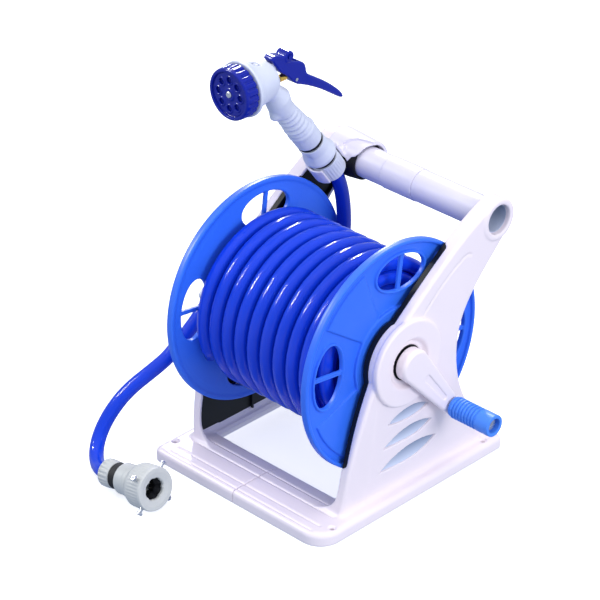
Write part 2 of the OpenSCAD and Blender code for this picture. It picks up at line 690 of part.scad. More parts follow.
module valve_stem() {
    color([0.85, 0.6, 0.15]) translate([-nozzle_x, 0, stem_z]) rotate([-90, 0, 0]) {
        translate([0, 0, -22]) cylinder(h = 50.8, r = 3);
        translate([0, 0, -22]) cylinder(h = 3, r = 5);
    }
}
module valve_spring() {
    color([0.7, 0.71, 0.73]) translate([-nozzle_x, -40, stem_z]) rotate([-90, 0, 0])
        for (k = [0:5]) translate([0, 0, 3 * k]) rotate_extrude() translate([4, 0]) circle(r = 0.7, $fn = 16);
}
lever_outline = concat(
    [[9, 486], [12, 477], [16, 466], [20, 460], [22.5, 452], [26.5, 445], [33, 442]],
    bez([36, 441], [60, 440], [84, 424], [106, 399.5]),
    arc([109, 402.5], 4.5, 230, 400, 6),
    bez([112, 408], [94, 432], [74, 446], [52, 450]),
    [[47, 456], [45, 468], [38, 472]],
    arc([pivot_y, pivot_z], 8.2, -20, 120, 10));
module lever() {
    color([0.04, 0.1, 0.5]) difference() {
        slab_nozzle(-8, 8) polygon(lever_outline);
        // slot for the lug and the stem
        slab_nozzle(-4.4, 4.4) polygon([[-20, 495], [-20, 446.5], [30.5, 446.5], [34.5, 460], [34.5, 495]]);
        slab_nozzle(-9, 9) translate([pivot_y, pivot_z]) circle(r = 2.55);
        slab_nozzle(-9, 9) translate([link_y, link_z]) circle(r = 2.02);
    }
}
module lever_pivot() { color([0.04, 0.1, 0.5]) rod_x(-nozzle_x - 9.5, -nozzle_x + 9.5, pivot_y, pivot_z, 2.5); }
module link_pin() { color([0.9, 0.9, 0.92]) rod_x(-nozzle_x - 8.4, -nozzle_x + 8.4, link_y, link_z, 2); }

left_frame();
right_frame();
left_web();
right_web();
front_board_left();
front_board_right();
rear_board_left();
rear_board_right();
board_plates();
board_screws();
handle_left();
handle_right();
handle_sleeve();
holder_socket();
nozzle_holder();
left_bushing();
right_bushing();
left_flange();
right_flange();
drum_core();
flange_screws();
axle();
core_outlet();
core_nut();
hose_winding();
crank_arm();
crank_screw();
crank_pin();
crank_grip();
inlet_elbow();
inlet_nut();
inlet_oring();
inlet_hose();
tap_nut();
tap_ring();
tap_stem();
tap_collar();
tap_cap();
tap_rubber();
tap_screws();
hose_tail();
hose_nut();
nut_ring();
connector_core();
release_collar();
nozzle_body();
grip_seal();
dial();
dial_face();
dial_screw();
valve_stem();
valve_spring();
lever();
lever_pivot();
link_pin();
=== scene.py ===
"""Looks of the garden hose reel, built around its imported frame.

Lengths are in millimetres until a mesh is made.
"""

import json
import math

import bpy
import numpy as np
from mathutils import Matrix, Vector


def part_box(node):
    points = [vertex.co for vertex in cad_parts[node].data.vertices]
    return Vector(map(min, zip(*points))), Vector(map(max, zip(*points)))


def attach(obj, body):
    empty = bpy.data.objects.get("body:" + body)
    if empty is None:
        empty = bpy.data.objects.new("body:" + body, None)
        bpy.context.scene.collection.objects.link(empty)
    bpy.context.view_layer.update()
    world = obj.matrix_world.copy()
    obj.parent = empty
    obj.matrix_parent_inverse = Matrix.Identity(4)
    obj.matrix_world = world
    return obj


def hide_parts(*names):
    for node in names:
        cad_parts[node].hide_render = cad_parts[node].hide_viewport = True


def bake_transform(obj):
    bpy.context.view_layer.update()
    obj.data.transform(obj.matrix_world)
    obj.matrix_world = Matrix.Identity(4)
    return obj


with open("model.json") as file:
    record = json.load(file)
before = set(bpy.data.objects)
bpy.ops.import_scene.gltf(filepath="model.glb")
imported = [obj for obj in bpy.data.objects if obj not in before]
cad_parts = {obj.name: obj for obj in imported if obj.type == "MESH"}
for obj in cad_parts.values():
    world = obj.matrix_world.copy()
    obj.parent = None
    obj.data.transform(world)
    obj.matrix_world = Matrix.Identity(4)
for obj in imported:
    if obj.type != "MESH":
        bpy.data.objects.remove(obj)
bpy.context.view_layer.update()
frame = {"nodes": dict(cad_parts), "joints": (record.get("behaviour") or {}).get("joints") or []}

MM = 0.001


def low(node):
    return np.array(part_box(node)[0]) / MM


def high(node):
    return np.array(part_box(node)[1]) / MM


def middle(node):
    return (low(node) + high(node)) / 2


def joint_point(name):
    found = next(j for j in frame["joints"] if j["name"] == name)
    return np.array(found["pos_m"]) / MM


# ---- places that the frame gives ----
AXLE = joint_point("drum_spin")
HANDLE = middle("handle_right")
HANDLE_R = (high("handle_right") - low("handle_right"))[2] / 2
HEAD = middle("dial_screw")
NOZZLE_X = HEAD[0]
SEAL = middle("grip_seal")
CRANK_PIN = middle("crank_pin")
FLANGE_R = (high("right_flange") - low("right_flange"))[1] / 2
FLANGE_OUT = high("right_flange")[0]
BASE_HALF_X = high("right_frame")[0]
BASE_FRONT = low("front_board_right")[1]
BASE_REAR = high("rear_board_right")[1]
BASE_TOP = high("front_board_right")[2]
FRONT_BOARD_REAR = high("front_board_right")[1]
REAR_BOARD_FRONT = low("rear_board_right")[1]
SEAM_X = low("front_board_right")[0] - 0.15
SCREW_X, SCREW_Y = 129.0, 128.0
WINDING_R = (high("hose_winding") - low("hose_winding"))[2] / 2
HOSE_D = 17.5
HOSE_R = HOSE_D / 2
FLANGE_INNER = 104.0                    # inner face of a flange, measured from the middle
LEFT_CORNER_R, RIGHT_CORNER_R, REAR_CORNER_R = 9, 28, 8

GRIP_ANGLE = math.radians(53.5)
GRIP_DIR = np.array([0, math.cos(GRIP_ANGLE), -math.sin(GRIP_ANGLE)])
RING = SEAL - 23.7 * GRIP_DIR          # start of the grip's axis, at its last ring
TAP_ANGLE = math.radians(9.6)
TAP_DIR = np.array([math.cos(TAP_ANGLE), 0, math.sin(TAP_ANGLE)])
TAP_START = np.array([-136.0, -229.0, 17.0])
ELBOW_DROP = math.radians(38)
ELBOW_DIR = np.array([0, -math.cos(ELBOW_DROP), -math.sin(ELBOW_DROP)])
ELBOW_X = -155


# ---- camera ----
CAMERA_AZIMUTH, CAMERA_ELEVATION = math.radians(44.6), math.radians(29.9)
CAMERA_LENS, CAMERA_SENSOR = 170.5, 36
CAMERA_RIGHT, CAMERA_UP, CAMERA_BACK = -0.0251, 0.1855, 3.3616       # metres from the point it turns about
CAMERA_PIVOT = Vector((0, -0.013, 0))


def make_camera():
    right = Vector((math.cos(CAMERA_AZIMUTH), math.sin(CAMERA_AZIMUTH), 0))
    level = math.cos(CAMERA_ELEVATION)
    back = Vector((math.sin(CAMERA_AZIMUTH) * level, -math.cos(CAMERA_AZIMUTH) * level,
                   math.sin(CAMERA_ELEVATION)))
    up = back.cross(right)
    data = bpy.data.cameras.new("camera")
    data.lens, data.sensor_width = CAMERA_LENS, CAMERA_SENSOR
    camera = bpy.data.objects.new("camera", data)
    bpy.context.scene.collection.objects.link(camera)
    rotation = Matrix((right, up, back)).transposed().to_4x4()
    place = right * CAMERA_RIGHT + up * CAMERA_UP + back * CAMERA_BACK + CAMERA_PIVOT
    camera.matrix_world = Matrix.Translation(place) @ rotation
    bpy.context.scene.camera = camera


make_camera()


# ---- outline helpers ----
def bez(a, b, c, d, n=12):
    t = np.linspace(0, 1, n + 1)[:, None]
    a, b, c, d = (np.array(p, float) for p in (a, b, c, d))
    return a * (1 - t) ** 3 + b * 3 * t * (1 - t) ** 2 + c * 3 * t * t * (1 - t) + d * t ** 3


def arc(centre, radius, start, end, n=16):
    a = np.radians(np.linspace(start, end, n + 1))
    return np.array(centre) + radius * np.stack([np.cos(a), np.sin(a)], 1)


def joined_curves(*curves):
    """One closed outline from curves that each start where the last one ends."""
    points = []
    for curve in curves:
        starts_at_end = len(points) and np.allclose(points[-1], curve[0])
        points += list(curve[1:] if starts_at_end else curve)
    return np.array(points[:-1] if np.allclose(points[0], points[-1]) else points)


def smooth_line(points, spacing):
    """Points at even spacing along a smooth curve through the given points."""
    p = np.array(points, float)
    ends = np.vstack([2 * p[0] - p[1], p, 2 * p[-1] - p[-2]])
    out = []
    for i in range(len(p) - 1):
        a, b, c, d = ends[i:i + 4]
        t = np.linspace(0, 1, 9)[:-1, None]
        out.append(0.5 * (2 * b + (c - a) * t + (2 * a - 5 * b + 4 * c - d) * t ** 2
                          + (3 * b - a - 3 * c + d) * t ** 3))
    line = np.vstack(out + [p[-1:]])
    along = np.concatenate([[0], np.cumsum(np.linalg.norm(np.diff(line, axis=0), axis=1))])
    even = np.linspace(0, along[-1], max(2, round(along[-1] / spacing) + 1))
    return np.stack([np.interp(even, along, line[:, k]) for k in range(3)], 1)


# ---- mesh helpers ----
def make_piece(name, verts, faces, body, material, slot, replaces=()):
    """A smooth-shaded mesh object from points in millimetres, riding on a body if one is given."""
    mesh = bpy.data.meshes.new(name)
    mesh.from_pydata((np.asarray(verts, float) * MM).tolist(), [], [list(map(int, f)) for f in faces])
    mesh.validate()
    mesh.polygons.foreach_set("use_smooth", [True] * len(mesh.polygons))
    mesh.materials.append(material)
    piece = bpy.data.objects.new(name, mesh)
    bpy.context.scene.collection.objects.link(piece)
    if body:
        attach(piece, body)
    if replaces:
        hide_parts(*replaces)
    return piece


def joined(*parts):
    """One list of points and faces from several."""
    verts, faces, start = [], [], 0
    for v, f in parts:
        verts.append(np.asarray(v, float))
        faces += [[i + start for i in face] for face in f]
        start += len(v)
    return np.vstack(verts), faces


def placed(shape, origin, direction, up=(0, 0, 1)):
    """A shape drawn round +Z, moved so that +Z points along direction."""
    z = np.array(direction, float) / np.linalg.norm(direction)
    x = np.cross(np.array(up, float), z)
    if np.linalg.norm(x) < 1e-6:
        x = np.array([1.0, 0, 0])
    x /= np.linalg.norm(x)
    y = np.cross(z, x)
    v, f = shape
    v = np.asarray(v, float)
    return v[:, :1] * x + v[:, 1:2] * y + v[:, 2:] * z + np.array(origin, float), f


def mirrored(shape):
    v, f = shape
    return np.asarray(v) * [-1, 1, 1], [list(reversed(face)) for face in f]


def soft(points, radius, closed=True):
    """The outline with each corner rounded by an arc, and a support point beside it."""
    steps = 4                           # pieces in each corner's arc
    nearly_straight = math.radians(86)
    reach = 0.42                        # the most of an edge that one corner may take
    p = [np.array(q, float) for q in points]
    n, out = len(p), []
    for i in range(n):
        if not closed and i in (0, n - 1):
            out.append(p[i])
            continue
        a, b, c = p[i - 1], p[i], p[(i + 1) % n]
        u, v = a - b, c - b
        lu, lv = np.linalg.norm(u), np.linalg.norm(v)
        u, v = u / lu, v / lv
        half = math.acos(max(-1, min(1, float(u @ v)))) / 2
        if half > nearly_straight:
            out.append(b)
            continue
        cut = min(radius / math.tan(half), lu * reach, lv * reach)
        r = cut * math.tan(half)
        centre = b + (u + v) / np.linalg.norm(u + v) * r / math.sin(half)
        start, end = b + u * cut, b + v * cut
        a0 = math.atan2(*(start - centre)[::-1])
        a1 = math.atan2(*(end - centre)[::-1])
        turn = (a1 - a0 + math.pi) % (2 * math.pi) - math.pi
        out.append(start + u * min(cut, 0.06 * lu))
        for k in range(steps + 1):
            t = a0 + turn * k / steps
            out.append(centre + r * np.array([math.cos(t), math.sin(t)]))
        out.append(end + v * min(cut, 0.06 * lv))
    return np.array(out)


def lathe(profile, turns=96, closed=True, ribs=None):
    """A profile of (radius, height) turned round Z. ribs(angle, radius, height) adds to the radius."""
    p = np.array(profile, float)
    n = len(p)
    angle = np.arange(turns) * 2 * math.pi / turns
    a = np.tile(angle[:, None], (1, n))
    r, h = (np.tile(p[:, k], (turns, 1)) for k in (0, 1))
    if ribs:
        r = np.maximum(r + ribs(a, r, h), 0.01)
    verts = np.stack([r * np.cos(a), r * np.sin(a), h], -1).reshape(-1, 3)
    faces = []
    for i in range(turns):
        j = (i + 1) % turns
        for k in range(n if closed else n - 1):
            m = (k + 1) % n
            faces.append([i * n + k, j * n + k, j * n + m, i * n + m])
    if not closed:
        faces.append([i * n for i in reversed(range(turns))])
        faces.append([i * n + n - 1 for i in range(turns)])
    return verts, faces


def tube_along(line, radius, sides):
    """A tube of one skin along a line, with its ends closed."""
    line = np.asarray(line, float)
    tangent = np.gradient(line, axis=0)
    tangent /= np.linalg.norm(tangent, axis=1)[:, None]
    side = np.cross(tangent[0], [0.13, 0.2, 0.97])
    side /= np.linalg.norm(side)
    angle = np.arange(sides) * 2 * math.pi / sides
    rings = []
    for i in range(len(line)):
        side = side - tangent[i] * (side @ tangent[i])
        side /= np.linalg.norm(side)
        up = np.cross(side, tangent[i])
        rings.append(line[i] + radius * (np.cos(angle)[:, None] * side + np.sin(angle)[:, None] * up))
    verts = np.vstack(rings)
    faces = []
    for i in range(len(line) - 1):
        for j in range(sides):
            k = (j + 1) % sides
            faces.append([i * sides + j, (i + 1) * sides + j, (i + 1) * sides + k, i * sides + k])
    faces.append(list(range(sides)))
    faces.append([(len(line) - 1) * sides + j for j in reversed(range(sides))])
    return verts, faces


# ---- solids from distance fields: moulded shapes with rounded edges ----
def smooth_min(a, b, k):
    h = np.maximum(k - np.abs(a - b), 0) / k
    return np.minimum(a, b) - h * h * k / 4


def smooth_max(a, b, k):
    return -smooth_min(-a, -b, k)


def outline_distance(points):
    """Signed distance to a closed outline, negative inside, as a function of two coordinates."""
    p = np.array(points, float)
    q = np.roll(p, -1, axis=0)

    def distance(u, v):
        u, v = np.broadcast_arrays(u, v)
        best = np.full(u.shape, 1e18)
        inside = np.zeros(u.shape, bool)
        for (ax, ay), (bx, by) in zip(p, q):
            ex, ey = bx - ax, by - ay
            t = np.clip(((u - ax) * ex + (v - ay) * ey) / max(ex * ex + ey * ey, 1e-12), 0, 1)
            best = np.minimum(best, (u - ax - t * ex) ** 2 + (v - ay - t * ey) ** 2)
            if ay != by:
                crosses = (ay > v) != (by > v)
                inside ^= crosses & (u < ax + (v - ay) * ex / ey)
        return np.where(inside, -1, 1) * np.sqrt(best)
    return distance


def slab(flat, across, radius):
    """Distance of an outline's distance and a thickness's distance together, with rounded edges."""
    a, b = flat + radius, across + radius
    return np.minimum(np.maximum(a, b), 0) + np.hypot(np.maximum(a, 0), np.maximum(b, 0)) - radius


def rises(value, width):
    """0 below zero and 1 above it, with a soft step."""
    return 0.5 + 0.5 * np.tanh(value / (2 * width))


def between(value, a, b):
    return np.abs(value - (a + b) / 2) - (b - a) / 2


def skin(field, lowest, highest, step):
    """Points and quads of the surface on which field(x, y, z) is zero."""
    axes = [np.arange(a - 1.5 * step, b + 2.5 * step, step) for a, b in zip(lowest, highest)]
    axes = [a.astype(np.float32) for a in axes]
    values = np.array(np.broadcast_to(field(*np.ix_(*axes)), [len(a) for a in axes]), np.float32)
    cells = np.array(values.shape) - 1
    total = np.zeros((int(cells.prod()), 3))
    count = np.zeros(int(cells.prod()))
    quads = []
    for axis in range(3):
        first = tuple(slice(0, -1) if k == axis else slice(1, -1) for k in range(3))
        second = tuple(slice(1, None) if k == axis else slice(1, -1) for k in range(3))
        a, b = values[first], values[second]
        crosses = (a < 0) != (b < 0)
        index = np.argwhere(crosses) + [0 if k == axis else 1 for k in range(3)]
        spot = index.astype(float)
        spot[:, axis] += a[crosses] / (a[crosses] - b[crosses])
        u, v = (axis + 1) % 3, (axis + 2) % 3
        corners = []
        for du, dv in ((-1, -1), (0, -1), (0, 0), (-1, 0)):
            cell = index.copy()
            cell[:, u] += du
            cell[:, v] += dv
            flat = np.ravel_multi_index(cell.T, cells)
            for k in range(3):
                total[:, k] += np.bincount(flat, spot[:, k], len(total))
            count += np.bincount(flat, minlength=len(count))
            corners.append(flat)
        quad = np.stack(corners, 1)
        out = a[crosses] >= 0
        quad[out] = quad[out][:, ::-1]
        quads.append(quad)
    used = np.flatnonzero(count)
    number = np.full(len(count), -1)
    number[used] = np.arange(len(used))
    points = total[used] / count[used][:, None] * step + [a[0] for a in axes]
    h = 0.2 * step
    for _ in range(3):
        x, y, z = points.T
        d = field(x, y, z)
        slope = np.stack([field(x + h, y, z) - field(x - h, y, z),
                          field(x, y + h, z) - field(x, y - h, z),
                          field(x, y, z + h) - field(x, y, z - h)], 1) / (2 * h)
        size = np.maximum((slope ** 2).sum(1), 0.05)
        points = points - np.clip(d / size, -0.4 * step, 0.4 * step)[:, None] * slope
    return points, number[np.vstack(quads)].tolist()


# ---- materials ----
def new_material(name, color, roughness, **sockets):
    material = bpy.data.materials.new(name)
    material.use_nodes = True
    shader = material.node_tree.nodes["Principled BSDF"]
    shader.inputs["Base Color"].default_value = (*color, 1)
    shader.inputs["Roughness"].default_value = roughness
    for key, value in sockets.items():
        shader.inputs[key.replace("_", " ")].default_value = value
    return material


def node(material, kind, **inputs):
    made = material.node_tree.nodes.new(kind)
    for key, value in inputs.items():
        socket = made.inputs[key.replace("_", " ")]
        if isinstance(value, bpy.types.NodeSocket):
            material.node_tree.links.new(value, socket)
        else:
            socket.default_value = value
    return made


def vary(material, color, other, scale, roughness, stretch, bump, bump_scale):
    """Cloudy colour and roughness, and a fine bump, in the object's own coordinates."""
    tree = material.node_tree
    shader = tree.nodes["Principled BSDF"]
    place = node(material, "ShaderNodeTexCoord").outputs["Object"]
    stretched = node(material, "ShaderNodeMapping", Vector=place, Scale=stretch).outputs["Vector"]
    cloud = node(material, "ShaderNodeTexNoise", Vector=stretched, Scale=scale, Detail=3, Roughness=0.55)
    mix = tree.nodes.new("ShaderNodeMix")
    mix.data_type = "RGBA"
    # sockets 6, 7 and output 2 are the mix node's two colours and its colour result
    mix.inputs[6].default_value, mix.inputs[7].default_value = (*color, 1), (*other, 1)
    tree.links.new(cloud.outputs["Fac"], mix.inputs[0])
    tree.links.new(mix.outputs[2], shader.inputs["Base Color"])
    level = node(material, "ShaderNodeMapRange", Value=cloud.outputs["Fac"])
    level.inputs["To Min"].default_value, level.inputs["To Max"].default_value = roughness
    tree.links.new(level.outputs["Result"], shader.inputs["Roughness"])
    grain = node(material, "ShaderNodeTexNoise", Vector=stretched, Scale=bump_scale, Detail=4.0)
    relief = node(material, "ShaderNodeBump", Height=grain.outputs["Fac"], Strength=bump, Distance=0.0004)
    tree.links.new(relief.outputs["Normal"], shader.inputs["Normal"])
    return material


def moulded(name, color, other, roughness, bump, **sockets):
    """Moulded plastic: faintly cloudy, with a fine grain."""
    material = new_material(name, color, 0.35, **sockets)
    return vary(material, color, other, 14, roughness, (1, 1, 1), bump, 900)


def plated(name, color, roughness, cloud, scale, levels, stretch, bump):
    """Metal with its cloud and grain drawn out along one way."""
    material = new_material(name, color, roughness, Metallic=1.0)
    return vary(material, *cloud, scale, levels, stretch, bump, 700)


def shaded(name, low_color, high_color):
    """Plastic painted with shade: it darkens from a piece's bottom to its top."""
    material = moulded(name, low_color, low_color, (0.4, 0.5), 0.08, Specular_IOR_Level=0.3)
    tree = material.node_tree
    place = node(material, "ShaderNodeTexCoord").outputs["Generated"]
    split = node(material, "ShaderNodeSeparateXYZ", Vector=place)
    ramp = node(material, "ShaderNodeValToRGB", Fac=split.outputs["Z"])
    for stop, spot, color in zip(ramp.color_ramp.elements, (0.1, 0.8), (low_color, high_color)):
        stop.position, stop.color = spot, (*color, 1)
    tree.links.new(ramp.outputs["Color"], tree.nodes["Principled BSDF"].inputs["Base Color"])
    return material


WHITE = moulded("white_plastic", (0.88, 0.79, 0.83), (0.92, 0.83, 0.86), (0.34, 0.46), 0.08,
                Specular_IOR_Level=0.35)
# painted shade: a darker, bluer copy of the white plastic, for the nozzle body, its collar and its nut
SHADE_WHITE = moulded("nozzle_white_painted_shade", (0.60, 0.63, 0.74), (0.65, 0.68, 0.78), (0.30, 0.42), 0.08)
REEL_BLUE = moulded("reel_blue", (0.028, 0.150, 0.84), (0.042, 0.190, 0.92), (0.32, 0.44), 0.08,
                    Specular_IOR_Level=0.35)
GRIP_BLUE = moulded("grip_blue", (0.060, 0.235, 0.84), (0.085, 0.29, 0.90), (0.38, 0.5), 0.15,
                    Specular_IOR_Level=0.35)
HOSE_BLUE = moulded("hose_blue", (0.005, 0.046, 0.62), (0.008, 0.058, 0.72), (0.08, 0.15), 0.35,
                    Specular_IOR_Level=0.3)
# painted shade: a darker copy of the white plastic, for the handle and the holder on it
SHADED_HANDLE_WHITE = moulded("handle_white_painted_shade", (0.74, 0.70, 0.80), (0.79, 0.75, 0.84), (0.34, 0.46), 0.08,
                       Specular_IOR_Level=0.35)
# painted shade: a darker, navy copy of the hose's blue, for the tail, which is the same hose as the winding
HOSE_BLUE_SHADED = moulded("hose_navy", (0.004, 0.026, 0.44), (0.007, 0.038, 0.54), (0.12, 0.2), 0.25,
                    Specular_IOR_Level=0.4)
NAVY = moulded("nozzle_navy", (0.0015, 0.009, 0.25), (0.003, 0.014, 0.34), (0.14, 0.24), 0.08,
               Specular_IOR_Level=0.32)
# the frames' inner webs: their own dark plastic, and also painted shade where they show as the dark band
# between flange and frame wall
BLACK = moulded("black_web", (0.003, 0.004, 0.005), (0.006, 0.007, 0.009), (0.4, 0.55), 0.2,
                Specular_IOR_Level=0.3)
RUBBER = moulded("black_rubber", (0.005, 0.005, 0.006), (0.012, 0.012, 0.014), (0.55, 0.75), 0.3,
                 Specular_IOR_Level=0.3)
TAP_GREY = moulded("tap_grey", (0.56, 0.57, 0.54), (0.64, 0.65, 0.62), (0.42, 0.55), 0.2,
                   Specular_IOR_Level=0.35)
FITTING = moulded("fitting_white", (0.66, 0.68, 0.76), (0.74, 0.75, 0.82), (0.35, 0.5), 0.2)
# painted shade: pale at the bottom and dark at the top, for the vents and the handle's open end
VENT_SHADE = shaded("vent_shade", (0.62, 0.68, 0.82), (0.20, 0.26, 0.38))
STEEL = plated("plated_steel", (0.62, 0.63, 0.66), 0.25, ((0.55, 0.56, 0.60), (0.72, 0.73, 0.76)),
               40, (0.16, 0.34), (1, 1, 8), 0.15)
# painted shade: a darker copy of the plated steel, for the board screws down in their holes
SHADED_STEEL = plated("steel_painted_shade", (0.10, 0.11, 0.14), 0.4, ((0.08, 0.09, 0.12), (0.16, 0.17, 0.20)),
                    40, (0.3, 0.5), (1, 1, 8), 0.15)
BRASS = plated("polished_brass", (0.83, 0.52, 0.10), 0.2, ((0.86, 0.50, 0.08), (0.95, 0.62, 0.14)),
               60, (0.12, 0.26), (1, 8, 1), 0.1)

# ---- hoses ----
TAIL_ROUTE = [
    (-92, 99, 307.6), (-92, 104.5, 300), (-92, 109, 291), (-92, 113, 279), (-92, 116, 266),
    (-92, 118, 252), (-92, 119, 238), (-92, 119, 224), (-92, 117.5, 210), (-92, 114.5, 197),
    (-92, 110.5, 183), (-92, 107, 169), (-92, 102.5, 156), (-92, 98.5, 143)]
INLET_ROUTE = [
    (-155, -46, 161), (-155, -57, 152.5), (-155, -69, 143), (-155.5, -83, 132.5), (-156.5, -97, 122),
    (-159, -111, 111), (-163, -124, 102.5), (-168, -137, 94), (-174, -151, 84), (-179.5, -164, 72),
    (-184, -175.5, 58), (-187, -184.5, 44.5), (-188, -192.5, 31.5), (-185.5, -200.5, 20.5),
    (-179, -208.5, 12.5), (-168.5, -216.5, 9.6), (-157, -223, 10.8), (-146.5, -227.5, 14), (-136, -229, 17)]


def add_hose(name, line, material, slot, body, replaces, sides=24, **facts):
    line = np.asarray(line)
    piece = make_piece(name, *tube_along(line, HOSE_R, sides), body, material, slot, replaces)
    return piece


def winding_line():
    """The hose's centreline on the drum: four layers, each wound across and back, one over the other."""
    rise = 17                           # from one layer's centre to the next
    top = WINDING_R - HOSE_R - 0.6
    layers = [(top - 3 * rise, 10.45, -90, 90), (top - 2 * rise, 10.5, 90, -90),
              (top - rise, 10.5, -90, 90), (top, 8.9, 90, -92)]
    steps_per_turn, climb_turns = 48, 0.35
    angle = 90.0
    points = [[-56, AXLE[1] + 6, AXLE[2] + 33], [-62, AXLE[1] + 1, AXLE[2] + 42]]
    for k, (radius, turns, x0, x1) in enumerate(layers):
        below = rise if k else 0
        steps = round(turns * steps_per_turn)
        for i in range(steps):
            t = i / steps
            climb = min(1, t * turns / climb_turns)
            r = radius - below * (1 - climb * climb * (3 - 2 * climb))
            turn = angle + 360 * turns * t
            wander = 0.9 * math.sin(math.radians(turn + 40)) * math.sin(math.pi * t)
            a = math.radians(turn)
            r += 0.5 * math.sin(3 * a + radius) * climb
            points.append((x0 + (x1 - x0) * t + wander, AXLE[1] + r * math.cos(a),
                           AXLE[2] + r * math.sin(a)))
        angle += 360 * turns
    return np.array(points)


def add_winding():
    add_hose("wound_hose", winding_line(), HOSE_BLUE, "hose_blue", "drum", ["hose_winding"], sides=18,
             lay="coiled", far_end="object")


def add_tail():
    """The hose between nozzle and drum. Its end joins the last turn, and its start meets the nozzle."""
    ring = [(NOZZLE_X, AXLE[1] + r * math.cos(math.radians(a)), AXLE[2] + r * math.sin(math.radians(a)))
            for r, a in ((116, -31), (111.5, -40), (106.5, -49), (102.5, -58), (100.6, -66))]
    line = smooth_line(TAIL_ROUTE + ring, 6)
    piece = add_hose("tail_hose", line, HOSE_BLUE_SHADED, "hose_navy", None, ["hose_tail"],
                     lay="taut", far_end="object")
    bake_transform(piece)


def add_inlet_hose(with_pieces):
    line = smooth_line(INLET_ROUTE, 6)
    add_hose("inlet_hose_look", line, HOSE_BLUE, "hose_blue", "frame", ["inlet_hose"], lay="hanging",
             far_end="connector", with_pieces=with_pieces)


# ---- side frames and base ----
def face_x(y, z):
    """Outer face of a side frame: it leans, and it is a little lower in front of its moulded seam."""
    lean = np.interp(z, [17, 40, 74, 130, 180, 340], [122.5, 125.5, 128, 131.5, 133.5, 134])
    seam = -67 + 9 * np.clip((z - 22) / 158, 0, 1)
    return lean - 0.7 * rises(seam - y, 0.6) * (z < 182)


def rim_x(y, z):
    """Inner edge of a side frame's rim: further in beyond the drum, and flared where it meets the board."""
    beyond = rises(np.hypot(y - AXLE[1], z - AXLE[2]) - 138, 1.2)
    # near the drum the rim stops short, so the black web shows between flange and wall as painted shade
    return 121 - 24 * np.exp(-np.maximum(z - BASE_TOP, 0) / 9) - 7 * beyond


def panel_outline():
    hub, apex = AXLE[1:], HANDLE[1:]
    return np.vstack([
        bez((-108, 4), (-104, 62), (-91, 120), (-64, 174)),
        arc(hub, 51, 191, 106, 18),
        bez((-22, 236), (20, 270), (70, 311), (122.5, 333.6)),
        arc(apex, 25.5, 120, -44, 18),
        bez((152, 291.5), (128, 262), (76, 228), (74, 178)),
        bez((74, 176), (72, 128), (92, 78), (152, 24)),
        [(153, 4)]])


# each vent's left and right ends, then the lowest point of its lower edge and the highest of its upper one
VENTS = [(-40, 113, 29, 114, 2, 106, -8, 128), (-46, 82, 37, 88.5, 8, 78, -4, 101),
         (-49, 51, 47, 62, 11, 46, -2, 73)]


def vent_outline(k):
    """One of the three lens-shaped vents: its lower edge, then its upper edge back."""
    y0, z0, y1, z1, yl, zl, yu, zu = VENTS[k]
    return np.vstack([bez((y0, z0), (yl - 14, zl), (yl + 10, zl), (y1, z1), 10),
                      bez((y1, z1), (yu + 18, zu), (yu - 12, zu), (y0, z0), 10)[1:-1]])


def vent_floor(k, y, z, face):
    """A vent is a scoop: shallow at its lower edge, deep under its upper edge."""
    y0, z0, y1, z1 = VENTS[k][:4]
    rise = z - z0 - (y - y0) * (z1 - z0) / (y1 - y0)
    return face - 2.4 - 4.6 * np.clip((rise + 7) / 16, 0, 1), face - 12


def base_outline(corner):
    rear = REAR_CORNER_R
    x, front, back = BASE_HALF_X, BASE_FRONT, BASE_REAR
    return np.vstack([[(-x, front)], arc((x - corner, front + corner), corner, 270, 360, 12),
                      arc((x - rear, back - rear), rear, 0, 90, 6),
                      arc((-x + rear, back - rear), rear, 90, 180, 6)])


